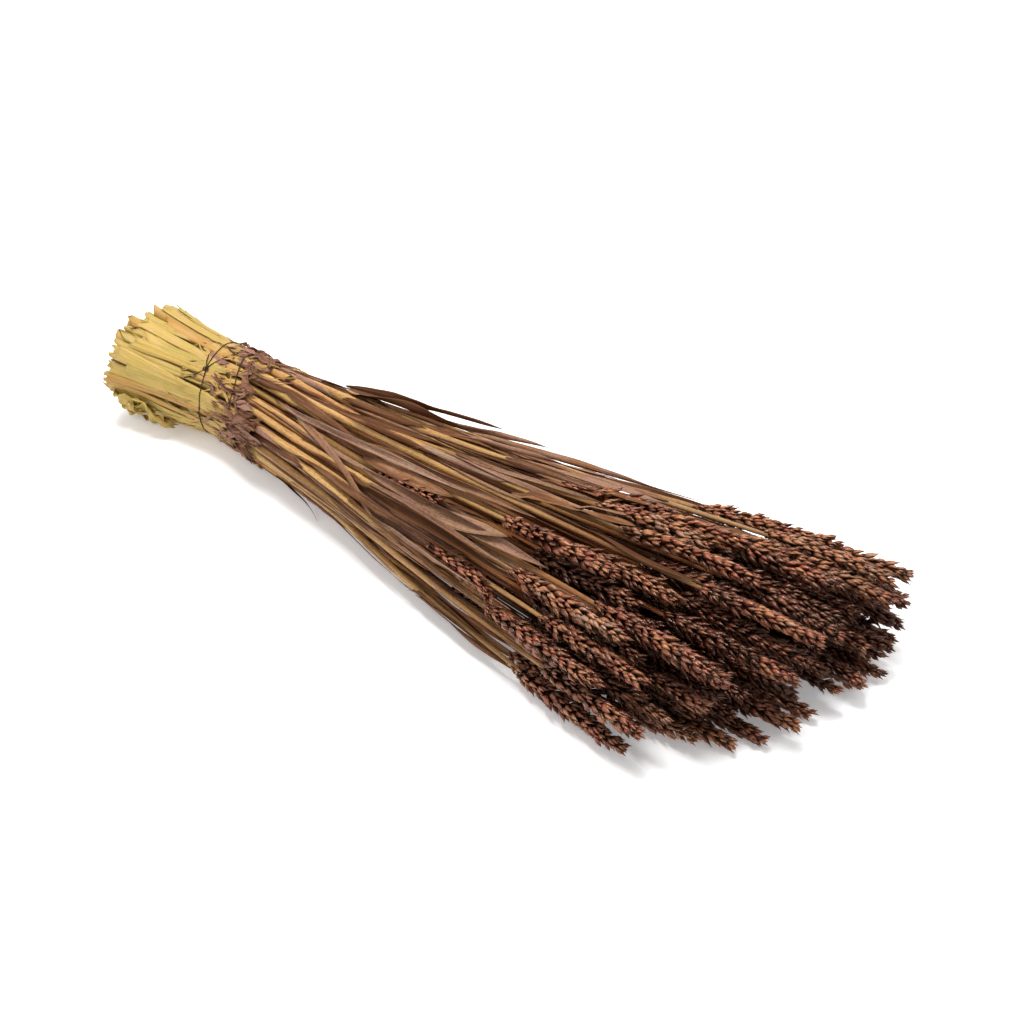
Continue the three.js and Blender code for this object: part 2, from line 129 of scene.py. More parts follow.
# What the random shapes of each kind start from
STALK_SEED, FAN_SEED, LEAF_SEED, SCRAP_SEED = 1000, 5, 31, 77

# Slots of the materials on a stalk, and on the scraps of sheath
STRAW, LEAF = 0, 2
PALE, BROWN = 0, 1

# Leaves that lie loose on the outside: where each starts and ends from the neck, the direction
# in degrees at its start and end, its width, its lift, its shade and how far its tip stands off
LOOSE_LEAVES = (
    (88, 176, 36, 24, 10, 0.4, 0.02, 0),
    (96, 235, 38, 29, 10, -0.6, 0.62, 0),
    (150, 300, 45, 36, 9, -0.8, 0.35, 0),
    (228, 345, 35, 31, 9, -0.8, 0.66, 0),
    (256, 352, 47, 40, 9, -0.8, 0.48, 0),
    (200, 292, 150, 138, 9.5, 0.8, 0.53, 0),
    (120, 215, 32, 24, 8, -1.2, 0.3, 0),
    (170, 262, 30, 27, 8, -1.0, 0.58, 0),
    (268, 352, 58, 50, 8, -0.8, 0.3, 0),
    (196, 290, 70, 58, 8, -0.8, 0.45, 0),
    (205, 345, 27, 25, 10, -0.6, 0.33, 0),
    (236, 330, 20, 17, 8, -0.8, 0.6, 0),
    (258, 352, 93, 86, 10, -1.8, 0.4, 0),
    (275, 340, 82, 78, 6, -1.4, 0.6, 0),
    (352, 430, 51, 46, 6, -2.5, 0.2, 0),
    (64, 190, 116, 168, 5, 1.2, 0.68, 0),
    (40, 140, 96, 118, 6, 1.0, 0.25, 0),
    (56, 120, 214, 218, 3.4, 0.2, 0.1, 10),
    (80, 134, 230, 236, 2.8, 0.2, 0.15, 11),
    (150, 250, 196, 204, 4.5, 0.2, 0.3, 4),
    (262, 352, 52, 45, 8, -1.6, 0.35, 0),
    (146, 236, 132, 130, 9, 3.4, 0.45, 0),
    (190, 262, 172, 166, 7, 0.6, 0.4, 0),
)

# Ears that ripened early and lie short among the outer straws: where each starts from the neck,
# its length, its direction in degrees and its lift at foot and tip
EARLY_EARS = (
    (234, 70, 163, 167, -1.0, 0.8),
    (164, 64, 141, 137, -5.0, -1.5),
    (348, 84, 53, 49, -5.0, -4.0),
    (276, 86, 46, 47, -5.0, -3.0),
)

# The photograph's view, worked out from the bundle's outline, in metres and degrees
LOOK_AT = Vector((0.044, 0.003, 0.04))
CAMERA_AZIMUTH, CAMERA_ELEVATION, CAMERA_DISTANCE = 37.2, 39.0, 1.055
FOCAL_PIXELS, IMAGE_WIDTH = 1563, 1024

# The stage, in metres and watts: each light's name, place, size and power
LIGHTS = (
    ("key_light", (-0.2, 0.1, 1.6), 0.6, 29),
    ("fill_light", (-0.9, -0.9, 1.0), 1.2, 6),
    ("back_light", (0.7, 1.2, 1.2), 1.2, 10),
)
LIT_PLACE = Vector((0, 0, 0.03))
WORLD_LIGHT = 0.44
FLOOR_HALF = 6.0
FLOOR_GLOW = 0.22


# ---------------------------------------------------------------- reading the frame


def mix(a, b, share):
    """What lies at share of the way from a to b."""
    return a + (b - a) * share


class Draws:
    """Repeatable draws, the same as those the solids grew from."""

    def __init__(self, seed):
        self.state = seed

    def __call__(self, low, high):
        self.state = self.state * 16807 % 2147483647
        return low + (high - low) * (self.state - 1) / 2147483646


class Line:
    """A smooth line along the bundle, through known places."""

    def __init__(self, x, places):
        self.x = np.array(x, float)
        self.places = np.array(places, float)
        self.slopes = np.gradient(self.places, self.x, axis=0)

    def at(self, x):
        """The (y, z) of the line at each x, straight on past its ends."""
        x = np.atleast_1d(np.asarray(x, float))
        inside = np.clip(x, self.x[0], self.x[-1])
        i = np.clip(np.searchsorted(self.x, inside) - 1, 0, len(self.x) - 2)
        width = self.x[i + 1] - self.x[i]
        t = ((inside - self.x[i]) / width)[:, None]
        width = width[:, None]
        curve = (
            (2 * t**3 - 3 * t**2 + 1) * self.places[i]
            + (t**3 - 2 * t**2 + t) * width * self.slopes[i]
            + (3 * t**2 - 2 * t**3) * self.places[i + 1]
            + (t**3 - t**2) * width * self.slopes[i + 1]
        )
        ends = np.where((x < self.x[0])[:, None], self.slopes[0], self.slopes[-1])
        return curve + (x - inside)[:, None] * ends

    def points(self, x):
        """The whole places of the line at each x."""
        return np.column_stack([x, self.at(x)])


def waves(rng, at, count, slowest, fastest):
    """A smooth wandering value along at, within about -1 to 1."""
    total = 0
    for _ in range(count):
        total = total + np.sin(at * rng.uniform(slowest, fastest) + rng.uniform(0, 2 * math.pi))
    return total / count


class Stalk:
    """A stalk's lengths, as the solids drew them, and later the line that it follows."""

    def __init__(self, rank, draw):
        reach = math.sqrt((rank + 0.5) / STALKS)
        side = reach * math.cos(rank * GOLDEN_ANGLE)
        self.rank = rank
        self.cut = draw(0, RAGGED_CUT)
        ear_length = draw(*EAR_LENGTH)
        uneven = UNEVEN_TIPS * draw(0, 1) ** EVENNESS
        shorter = uneven + SIDE_LOSS * (side - LONGEST_SIDE) ** 2
        early = draw(*EARLY) if draw(0, 1) < EARLY_SHARE else 0
        self.tip = LONGEST_STALK - shorter - early
        self.foot = self.tip - ear_length
        self.roll = draw(0, math.pi)
        self.leaf = None

    def straw_radius(self, x):
        """The radius of the solid's straw at x."""
        return mix(STRAW_RADIUS, STRAW_TOP_RADIUS, np.clip((x - self.neck) / (self.foot - self.neck), 0, 1))

    def move(self, shift):
        """Moves the stalk along the bundle, and works out where its rings are."""
        self.cut, self.tip, self.foot = self.cut + shift, self.tip + shift, self.foot + shift
        self.neck = NECK + shift
        self.knots = [mix(self.cut, self.foot, share) for share in STRAW_KNOTS]


def mesh_places(mesh):
    """Where a mesh's vertices are, in millimetres."""
    flat = np.empty(3 * len(mesh.vertices), np.float32)
    mesh.vertices.foreach_get("co", flat)
    return flat.reshape(-1, 3).astype(float) / MM


def node_corners(name):
    """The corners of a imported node, each once, in millimetres."""
    return np.unique(np.round(mesh_places(frame["nodes"][name].data), 3), axis=0)


def corners_at(corners, x):
    """The (y, z) of the corners at x, without those cut off where the bundle rests."""
    here = (np.abs(corners[:, 0] - x) < SAME_PLACE) & (corners[:, 2] > CUT_OFF)
    return corners[here][:, 1:]


def ring_middles(here, radius):
    """Where a straw's three-cornered ring may have its middle, and how many corners agree."""
    found = []
    for corner in here:
        for way in CORNER_WAYS:
            middle = corner - radius * way
            gaps = np.linalg.norm(here[:, None] - (middle + radius * CORNER_WAYS)[None], axis=2)
            found.append((int((gaps.min(0) < CORNER_MISS).sum()), middle))
    return found


def read_straw(stalk, corners):
    """The middles of a straw's rings. Where a union or the surface took a ring's corners away,
    the place nearest to the line through the known ones is taken."""
    known, doubtful = {}, {}
    for i, x in enumerate(stalk.knots):
        found = ring_middles(corners_at(corners, x), CORNER * stalk.straw_radius(x))
        best = max(found, key=lambda one: one[0], default=(0, None))
        if best[0] >= 2:
            known[i] = best[1]
        else:
            doubtful[i] = [middle for _, middle in found]
    xs = [stalk.knots[i] for i in sorted(known)]
    line = np.array([known[i] for i in sorted(known)])
    for i, choices in doubtful.items():
        guess = np.array([np.interp(stalk.knots[i], xs, line[:, axis]) for axis in (0, 1)])
        near = [c for c in choices if np.linalg.norm(c - guess) < STRAW_RADIUS]
        known[i] = min(near, key=lambda c: np.linalg.norm(c - guess), default=guess)
    return [known[i] for i in range(len(stalk.knots))]


def read_ear(stalk, corners, foot):
    """The places of an ear's middle and of its tip."""
    tip = corners_at(corners, stalk.tip).mean(0)
    length = stalk.tip - stalk.foot
    rows = SCALE_ROWS + TOP_ROWS
    ring = corners_at(corners, stalk.foot + MIDDLE_ROW * length / rows)
    if len(ring) != 3:
        return [mix(foot, tip, 0.5), tip]
    return [foot + (ring.mean(0) - foot) * (rows / 2) / MIDDLE_ROW, tip]


def read_leaf(corners, start, end):
    """The middle of a leaf's flat side at each of its rings, and its edge's direction there."""
    x, middles, edges = [], [], []
    for i in range(LEAF_BANDS):
        at = mix(start, end, i / LEAF_BANDS)
        here = corners_at(corners, at)
        if len(here) != 3:
            continue
        sides = [np.linalg.norm(here[(k + 1) % 3] - here[(k + 2) % 3]) for k in range(3)]
        keel = int(np.argmax(sides))
        a, b = here[(keel + 1) % 3], here[(keel + 2) % 3]
        out = (a + b) / 2 - here[keel]
        x.append(at)
        middles.append((a + b) / 2)
        edges.append(math.atan2(out[1], out[0]))
    tip = corners_at(corners, end)
    if len(tip):
        x.append(end)
        middles.append(tip[0])
        edges.append(edges[-1])
    return {"line": Line(x, middles), "out": np.unwrap(edges), "start": x[0], "end": x[-1]}


def read_stalks():
    """Every stalk of the frame with the line that it follows, and which node holds it."""
    draw = Draws(SEED)
    stalks = [Stalk(rank, draw) for rank in range(STALKS)]
    shift = CAD_HIGH.x / MM - max(stalk.tip for stalk in stalks)
    leaves = {}
    for stalk in stalks[-LEAVES:]:
        start = draw(*LEAF_START)
        end = min(start + draw(*LEAF_LENGTH), stalk.foot + LEAF_PAST_FOOT)
        draw(-LEAF_TILT, LEAF_TILT)
        leaves[stalk.rank] = (start + shift, end + shift)
    holders = {}
    first = 0
    for pairs in JOINED_RINGS:
        for rank in range(first, first + pairs):
            holders[f"stalks_{rank + 1:02d}_{rank + pairs + 1:02d}"] = [rank, rank + pairs]
        first += 2 * pairs
    for rank in range(first, STALKS):
        holders[f"stalk_{rank + 1:02d}"] = [rank]
    for name, ranks in holders.items():
        corners = node_corners(name)
        for rank in ranks:
            stalk = stalks[rank]
            stalk.move(shift)
            straw = read_straw(stalk, corners)
            middle, tip = read_ear(stalk, corners, straw[-1])
            known = [*stalk.knots, mix(stalk.foot, stalk.tip, 0.5), stalk.tip]
            stalk.line = Line(known, [*straw, middle, tip])
            if rank in leaves:
                stalk.leaf = read_leaf(corners, *leaves[rank])
    return stalks, holders


class Outside:
    """The outer surface of the whole bundle, taken as convex in every section across it."""

    STEP = 6
    WAYS = 48

    def __init__(self, stalks):
        self.x = np.arange(CAD_LOW.x / MM, CAD_HIGH.x / MM + self.STEP, self.STEP)
        angles = np.arange(self.WAYS) * 2 * math.pi / self.WAYS
        self.ways = np.column_stack([np.cos(angles), np.sin(angles)])
        middles = np.array([stalk.line.at(self.x) for stalk in stalks])
        radii = np.array([np.where(self.x < s.foot, s.straw_radius(self.x), EAR_RADIUS) for s in stalks])
        here = np.array([self.x < max(stalk.tip, self.x[0] + 1) for stalk in stalks])
        longest = max(range(len(stalks)), key=lambda rank: stalks[rank].tip)
        here[longest] = True
        self.middles = middles.astype(np.float32)
        self.radii = np.where(here, radii, -np.inf).astype(np.float32)
        reach = middles @ self.ways.T + radii[:, :, None]
        self.reach = np.where(here[:, :, None], reach, -np.inf).max(0)
        self.hearts = (middles * here[:, :, None]).sum(0) / here.sum(0)[:, None]

    def section(self, x):
        """How far the bundle reaches in every way at each x, and where its middle is."""
        at = np.clip((np.atleast_1d(x) - self.x[0]) / self.STEP, 0, len(self.x) - 1.001)
        i = at.astype(int)
        share = (at - i)[:, None]
        return mix(self.reach[i], self.reach[i + 1], share), mix(self.hearts[i], self.hearts[i + 1], share)

    def depth(self, places):
        """How deep inside the bundle each place lies, from its sides or its cut end."""
        reach, _ = self.section(places[:, 0])
        from_side = (reach - places[:, 1:] @ self.ways.T).min(1)
        return np.minimum(from_side, places[:, 0] - self.x[0])

    def crevice(self, places):
        """1 where a place lies against a second stalk's side, fading to 0 where it is clear of it."""
        at = np.clip((places[:, 0] - self.x[0]) / self.STEP, 0, len(self.x) - 1.001)
        i = at.astype(int)
        share = (at - i).astype(np.float32)[None, :, None]
        middles = mix(self.middles[:, i], self.middles[:, i + 1], share)
        gaps = np.linalg.norm(middles - places[None, :, 1:].astype(np.float32), axis=2) - self.radii[:, i]
        second = np.partition(gaps, 1, axis=0)[1]
        return np.exp(-np.clip(second - 0.3, 0, 30) / CREVICE)

    def on(self, x, angle, lift):
        """The places at lift over the outer surface, in these directions from its middle."""
        reach, heart = self.section(x)
        way = np.column_stack([np.cos(angle), np.sin(angle)])
        facing = way @ self.ways.T
        free = reach - heart @ self.ways.T
        out = np.where(facing > 0.3, free / np.maximum(facing, 0.3), np.inf).min(1) + lift
        return np.column_stack([x, heart + out[:, None] * way])

    def angle_of(self, stalk, x):
        """The direction in which a stalk lies from the middle of the bundle."""
        _, heart = self.section(x)
        away = stalk.line.at(x) - heart
        return np.unwrap(np.arctan2(away[:, 1], away[:, 0]))


def string_x(turn, angle):
    """Where a turn of the string lies along the bundle, in a direction round it."""
    return NECK_X + turn[0] - turn[1] * np.cos(angle)


def pressed(x, angle):
    """The share of its lift that the string leaves to what lies near it: little under a turn."""
    gaps = [np.abs(x - string_x(turn, angle)) for turn in STRING_TURNS]
    return np.clip(np.minimum(*gaps) / PRESSED_WIDTH, 0.04, 1)


STALKS_READ, NODE_STALKS = read_stalks()
NECK_X = STALKS_READ[0].neck
OUTSIDE = Outside(STALKS_READ)


# ---------------------------------------------------------------- meshes


def kept_inside(places):
    """Places in millimetres, moved into the frame's box where they stick out of it."""
    low, high = np.array(CAD_LOW) / MM, np.array(CAD_HIGH) / MM
    return np.clip(places, low + [0, 0, 0.05], high)


def new_object(name, vertices, faces, materials=(), face_materials=None, values=None):
    """A mesh object from places in millimetres, with a named value at each vertex if given."""
    mesh = bpy.data.meshes.new(name)
    mesh.from_pydata((np.array(vertices, float) * MM).tolist(), [], faces)
    for material in materials:
        mesh.materials.append(material)
    if face_materials is not None:
        mesh.polygons.foreach_set("material_index", np.array(face_materials, np.int32))
    for key, numbers in (values or {}).items():
        mesh.attributes.new(key, "FLOAT", "POINT").data.foreach_set("value", np.array(numbers, np.float32))
    mesh.polygons.foreach_set("use_smooth", np.ones(len(mesh.polygons), bool))
    mesh.update()
    obj = bpy.data.objects.new(name, mesh)
    bpy.context.scene.collection.objects.link(obj)
    return obj


def settle_piece(piece, node=None):
    """Keeps a finished piece in the frame's box, notes how hidden its places are for the painted shade, and
    hands it over.
    """
    mesh = piece.data
    places = kept_inside(mesh_places(mesh))
    mesh.vertices.foreach_set("co", (places * MM).astype(np.float32).ravel())
    depth = np.clip((OUTSIDE.depth(places) - CLEAR_DEPTH) / DARK_DEPTH, 0, 1)
    for key, values in (("deep", depth), ("crevice", OUTSIDE.crevice(places))):
        mesh.attributes.new(key, "FLOAT", "POINT").data.foreach_set("value", values.astype(np.float32))
    mesh.update()
    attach(piece, "root")
    if node:
        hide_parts(node)


class Shape:
    """Vertices and faces gathered piece by piece, each with its material and values."""

    def __init__(self):
        self.vertices, self.faces, self.slots = [], [], []
        self.values = {"tone": [], "across": [], "along": []}

    def grid(self, rows, slot, closed, tone=0.5, flip=False, across=None, along=None):
        """Faces between rows of places. A closed one joins each row's last place to its first."""
        rows = np.asarray(rows, float)
        n, m = rows.shape[:2]
        base = len(self.vertices)
        self.vertices.extend(rows.reshape(-1, 3))
        self.values["tone"].extend([tone] * (n * m))
        self.values["across"].extend(np.tile(np.linspace(0, 1, m) if across is None else across, n))
        self.values["along"].extend(np.repeat(rows[:, 0, 0] / 100 if along is None else along, m))
        for i in range(n - 1):
            for j in range(m if closed else m - 1):
                k = (j + 1) % m
                face = (base + i * m + j, base + i * m + k, base + (i + 1) * m + k, base + (i + 1) * m + j)
                self.add_face(face[::-1] if flip else face, slot)
        return base

    def add_face(self, face, slot):
        self.faces.append(tuple(int(v) for v in face))
        self.slots.append(slot)

    def sheet(self, rows, thickness, slot, tone):
        """A thin closed leaf of a sheet: the rows of places, and the same on its other side."""
        rows = np.asarray(rows, float)
        n, m = rows.shape[:2]
        along = np.gradient(rows, axis=0)
        across = np.gradient(rows, axis=1)
        normal = np.cross(along, across)
        normal /= np.linalg.norm(normal, axis=2, keepdims=True) + 1e-9
        top = self.grid(rows + normal * thickness / 2, slot, False, tone, flip=True)
        low = self.grid(rows - normal * thickness / 2, slot, False, tone)
        edge = (
            [(0, j) for j in range(m)]
            + [(i, m - 1) for i in range(1, n)]
            + [(n - 1, j) for j in range(m - 2, -1, -1)]
            + [(i, 0) for i in range(n - 2, 0, -1)]
        )
        ids = [i * m + j for i, j in edge]
        for a, b in zip(ids, ids[1:] + ids[:1]):
            self.add_face((top + a, low + a, low + b, top + b)[::-1], slot)

    def object(self, name, materials):
        """A mesh object of all that was gathered."""
        return new_object(name, self.vertices, self.faces, materials, self.slots, self.values)


# ---------------------------------------------------------------- straws, sheaths and leaves

SIDES = 12
ANGLES = np.arange(SIDES) * 2 * math.pi / SIDES
ROUND = 1 - np.abs(2 * np.arange(SIDES) / SIDES - 1)  # the way round a straw, there and back
CUT_RINGS = (0, 2, 5, 10)  # a straw's first rings, from its cut
CUT_FADE = (1, 0.75, 0.35, 0.1)  # how far each of them follows the ragged cut
RING_STEP = 9.0
KNEE_RINGS = (-6, -3, -1.2, 0.2, 1.4, 3.5)  # more rings at each knee
# A knee's swelling, its reach along the straw, and the share of the radius that is left past it
KNEE_SWELL, KNEE_WIDTH, KNEE_STEP = 0.13, 3.2, 0.95
FREE_FULLNESS = 0.3  # how much fuller a straw is where nothing presses it
STRIP_STEPS, LYING_STEPS, BLADE_STEPS = 5, 7, 9  # places across a strip, a lying leaf and a blade
BAND_RINGS, BAND_STEPS = 17, 11  # and along and across a band
# A lying leaf starts this far under the outside, and is out of it after this share of its length
TUCKED, TUCKED_SHARE = -3.0, 0.25


def straw_profile(stalk, x, sizes, knees):
    """A straw's radius along x: fuller where it is free of the string, and swollen at each knee."""
    free = np.clip((x - stalk.neck) / 110, 0, 1) + np.clip((stalk.neck - 20 - x) / 60, 0, 1)
    radius = stalk.straw_radius(x) * sizes.straw_fullness * (1 + FREE_FULLNESS * np.clip(free, 0, 1))
    for knee in knees:
        radius = radius * (1 + KNEE_SWELL * np.exp(-(((x - knee) / KNEE_WIDTH) ** 2)))
        radius = radius * np.where(x < knee, 1.0, KNEE_STEP)
    return radius


def add_straw(shape, stalk, rng, sizes):
    """A hollow straw with a ragged cut end, from there to just inside its ear."""
    foot_x = stalk.foot + 9
    knees = [stalk.cut + rng.uniform(120, 190), stalk.cut + rng.uniform(240, 330)]
    rings = [
        stalk.cut + np.array(CUT_RINGS),
        np.arange(stalk.cut + 18, foot_x - 4, RING_STEP),
        *[knee + np.array(KNEE_RINGS) for knee in knees if knee < foot_x - 8],
        [foot_x],
    ]
    x = np.unique(np.concatenate(rings))
    radius = straw_profile(stalk, x, sizes, knees)
    near_cut = np.exp(-(((x - stalk.cut) / 80) ** 2))
    flat = rng.uniform(0.1, 0.42) * near_cut + 0.1
    turn = rng.uniform(0, math.pi)
    wobble = 1 + 0.06 * np.sin(ANGLES * 3 + rng.uniform(0, 6))
    middle = stalk.line.at(x)
    slant = rng.uniform(0, 4.5) * np.cos(ANGLES - rng.uniform(0, 6.3))
    slant = slant + rng.uniform(-1, 1, SIDES) * rng.uniform(0.3, 1.5)
    slant -= slant.min()

    def ring(i, size, shift):
        out = size * wobble
        y = out * np.cos(ANGLES - turn) * (1 + flat[i])
        z = out * np.sin(ANGLES - turn) * (1 - flat[i])
        place = np.empty((SIDES, 3))
        place[:, 0] = x[i] + shift
        place[:, 1] = middle[i, 0] + y * math.cos(turn) - z * math.sin(turn)
        place[:, 2] = middle[i, 1] + y * math.sin(turn) + z * math.cos(turn)
        return place

    tone = rng.uniform(0, 1)
    fade = [*CUT_FADE, *[0] * (len(x) - len(CUT_FADE))]
    wall = sizes.straw_wall / MM
    inside = [ring(i, radius[i] - wall, slant * fade[i]) for i in reversed(range(len(CUT_FADE)))]
    outside = [ring(i, radius[i], slant * fade[i]) for i in range(len(x))]
    base = shape.grid([*inside, *outside], STRAW, True, tone, True, across=ROUND)
    last = base + (len(inside) + len(outside) - 1) * SIDES
    shape.add_face([base + j for j in range(SIDES)], STRAW)
    shape.add_face([last + j for j in range(SIDES)][::-1], STRAW)
    stalk.profile = lambda at: np.interp(at, x, radius)
    stalk.knees = knees


def frayed(rng, share, count, depth, first, last):
    """How far each strand of a torn sheath's two ends is moved along the bundle."""
    strands = rng.uniform(-1, 1, count) * depth
    fade = np.exp(-share * first) - np.exp(-(1 - share) * last)
    return fade[:, None] * strands[None]


def add_sheath(shape, stalk, rng, start, end, slot, width, lift):
    """A dry sheath wrapped round its straw, width being half the angle that it covers."""
    count = max(8, int((end - start) / 5.5))
    steps = 5 + int(2.2 * width)
    share = np.linspace(0, 1, count)
    x = mix(start, end, share)
    middle = stalk.line.at(x)
    turn = rng.uniform(0, 2 * math.pi) + rng.uniform(-1.2, 1.2) * share
    torn = np.clip(np.minimum(share / 0.05, (1 - share) / rng.uniform(0.15, 0.6)), 0.03, 1) ** 0.7
    left = -width * torn * (1 + 0.18 * waves(rng, x, 3, 0.04, 0.2))
    right = width * torn * (1 + 0.18 * waves(rng, x, 3, 0.04, 0.2))
    rise = lift * (0.5 + 0.5 * waves(rng, x, 2, 0.03, 0.1))
    at = np.linspace(-1, 1, steps)
    angle = turn[:, None] + mix(left[:, None], right[:, None], (at + 1) / 2)
    out = stalk.profile(x)[:, None] + 0.3 + rise[:, None] * np.abs(at) ** 2
    out = out + 0.12 * np.sin(angle * 5 + x[:, None] * 0.03)
    rows = np.empty((count, steps, 3))
    rows[:, :, 0] = x[:, None] + frayed(rng, share, steps, 4.0, 18, 9)
    rows[:, :, 1] = middle[:, :1] + out * np.cos(angle)
    rows[:, :, 2] = middle[:, 1:] + out * np.sin(angle)
    shape.sheet(rows, LEAF_THICKNESS, slot, rng.uniform(0, 1))


def add_strip(shape, stalk, rng, start, end, width, loose=0.0):
    """A narrow strip of dry leaf along the outer side of its straw. It twists, and may end loose."""
    count = int((end - start) / 5)
    share = np.linspace(0, 1, count)
    x = mix(start, end, share)
    around_straw = OUTSIDE.angle_of(stalk, x) + rng.uniform(-0.9, 0.9) + 0.7 * waves(rng, share, 2, 2, 6)
    twist = rng.uniform(-0.5, 0.5) + 1.1 * waves(rng, share, 2, 2, 8)
    out = stalk.profile(x) + 0.5 + 1.2 * (0.5 + 0.5 * waves(rng, share, 2, 3, 9)) + loose * share**6
    half = width / 2 * np.clip(np.sin(np.pi * mix(0.1, 1, share)) ** 0.6, 0.05, 1)
    at = np.linspace(-1, 1, STRIP_STEPS)
    sideways = half[:, None] * at * np.cos(twist)[:, None]
    upwards = half[:, None] * (at * np.sin(twist)[:, None] + 0.35 * at * at)
    c, s = np.cos(around_straw)[:, None], np.sin(around_straw)[:, None]
    middle = stalk.line.at(x)
    rows = np.empty((count, STRIP_STEPS, 3))
    rows[:, :, 0] = x[:, None] + frayed(rng, share, STRIP_STEPS, 3.0, 20, 12)
    rows[:, :, 1] = middle[:, :1] + (out[:, None] + upwards) * c - sideways * s
    rows[:, :, 2] = middle[:, 1:] + (out[:, None] + upwards) * s + sideways * c
    shape.sheet(rows, LEAF_THICKNESS, LEAF, rng.uniform(0, 1))


def add_lying_leaf(shape, rng, x, angle, width, lift, tone, loose=0.0):
    """A dry leaf laid along the outside of the bundle. Its tip may stand off by loose."""
    share = np.linspace(0, 1, len(x))
    half = width / 2 * np.clip(np.sin(np.pi * mix(0.03, 1, share)) ** 0.7, 0.05, 1)
    lift = mix(TUCKED, lift, np.clip(share / TUCKED_SHARE, 0, 1) ** 0.7)[:, None]
    at = np.linspace(-1, 1, LYING_STEPS)
    fold = 0.6 * waves(rng, share, 2, 2, 8)[:, None] * np.abs(at)
    fold = fold + 0.5 * waves(rng, share, 2, 3, 9)[:, None] * at
    rise = lift + 0.8 * waves(rng, share, 2, 2, 7)[:, None]
    rise = rise + half[:, None] * fold + loose * share[:, None] ** 4
    reach = np.linalg.norm(OUTSIDE.on(x, angle, 0)[:, 1:] - OUTSIDE.section(x)[1], axis=1)
    rows = np.empty((len(x), LYING_STEPS, 3))
    for j in range(LYING_STEPS):
        rows[:, j] = OUTSIDE.on(x, angle + at[j] * half / reach, rise[:, j])
    shape.sheet(rows, LEAF_THICKNESS, LEAF, tone)


def add_leaf(shape, stalk, rng, sizes):
    """A papery leaf blade, folded along its rib and crumpled, along the line of its solid."""
    leaf = stalk.leaf
    count = int((leaf["end"] - leaf["start"]) / 4)
    share = np.linspace(0, 1, count)
    x = mix(leaf["start"], leaf["end"], share)
    middle = leaf["line"].at(x)
    out = np.interp(x, leaf["line"].x, leaf["out"])
    out = out + 0.6 * waves(rng, share, 2, 3, 9)
    half = sizes.leaf_width / MM / 2 * rng.choice([0.6, 0.7, 0.8, 1.25])
    half = half * np.clip(np.sin(np.pi * mix(0.04, 1, share)) ** 0.8, 0.05, 1)
    half *= 1 + 0.1 * waves(rng, share, 3, 6, 18)
    fold = np.clip(rng.uniform(0.3, 1.1) + 0.35 * waves(rng, share, 2, 4, 12), 0, 1.4)
    curl = rng.uniform(-0.4, 0.4) + 0.5 * waves(rng, share, 2, 3, 10)
    at = np.linspace(-1, 1, BLADE_STEPS)
    angle = fold[:, None] * np.abs(at)
    wide = half[:, None] * at * np.cos(angle * 0.8)
    rise = half[:, None] * (np.abs(at) * np.sin(angle * 0.8) + curl[:, None] * at * at * 0.4) - 0.8
    for side in (1, -1):
        ripple = waves(rng, share, 3, 12, 36)[:, None]
        rise += 0.35 * ripple * np.clip(side * at, 0, 1)
    c, s = np.cos(out)[:, None], np.sin(out)[:, None]
    rows = np.empty((count, BLADE_STEPS, 3))
    rows[:, :, 0] = x[:, None]
    rows[:, :, 1] = middle[:, :1] - wide * s + rise * c
    rows[:, :, 2] = middle[:, 1:] + wide * c + rise * s
    shape.sheet(rows, BLADE_THICKNESS, LEAF, rng.uniform(0, 1))


def add_band(shape, stalk, rng, sizes):
    """A broad, flattened sheath on the outside of the bundle, from its cut end to the string."""
    start = stalk.cut + 17 * rng.uniform() ** 1.5
    there = OUTSIDE.angle_of(stalk, np.array([start + 40]))[0]
    start += 9 * max(0, math.sin(there)) ** 3
    end = string_x(STRING_TURNS[0], there) + rng.uniform(4, 30)
    share = np.linspace(0, 1, BAND_RINGS)
    x = mix(start, end, share)
    angle = OUTSIDE.angle_of(stalk, x) + rng.uniform(-0.16, 0.16) + rng.uniform(-0.18, 0.18) * share
    half = sizes.band_width / MM / 2 * rng.uniform(0.5, 1.2) * mix(1.0, 0.62, share)
    half = half * np.clip((1 - share) / 0.12, 0.15, 1) ** 0.5
    half *= 1 + 0.12 * waves(rng, share, 3, 4, 14)
    at = np.linspace(-1, 1, BAND_STEPS)
    crease = rng.uniform(0.1, 0.35) * np.sin(at * rng.uniform(4, 9) + rng.uniform(0, 6))
    lift = rng.uniform(0, 0.9) + 0.5 * (1 - at**4) + crease + 0.45 * waves(rng, share, 3, 3, 14)[:, None]
    lift = lift + (rng.uniform(-1.0, 1.6) * np.exp(-share * 8))[:, None]
    lift = np.maximum(lift, 0.1) * pressed(x, angle)[:, None] + rng.uniform(0.05, 0.7)
    ragged = frayed(rng, share, BAND_STEPS, 1.3, 16, 9)
    notch = rng.uniform(0, 7) * (1 - np.abs(at - rng.uniform(-0.6, 0.6)))
    rows = np.empty((BAND_RINGS, BAND_STEPS, 3))
    for j in range(BAND_STEPS):
        places = x + ragged[:, j] + notch[j] * np.exp(-share * 14)
        rows[:, j] = OUTSIDE.on(places, angle + at[j] * half / BAND_REACH, lift[:, j])
    shape.sheet(rows, BAND_THICKNESS, STRAW, rng.uniform(0, 1))


def add_cut_end(shape, stalk, rng, sizes):
    """The pale sheaths of a cut end: a wrapped one, and broad ones where the stalk lies outside."""
    end = stalk.cut + rng.uniform(45, 84)
    add_sheath(shape, stalk, rng, stalk.cut + 4, end, STRAW, rng.uniform(0.9, 2), 1.1)
    at_cut = stalk.line.points(np.array([stalk.cut + 30.0]))
    if OUTSIDE.depth(at_cut)[0] < OUTER_DEPTH:
        for _ in range(sizes.bands):
            add_band(shape, stalk, rng, sizes)


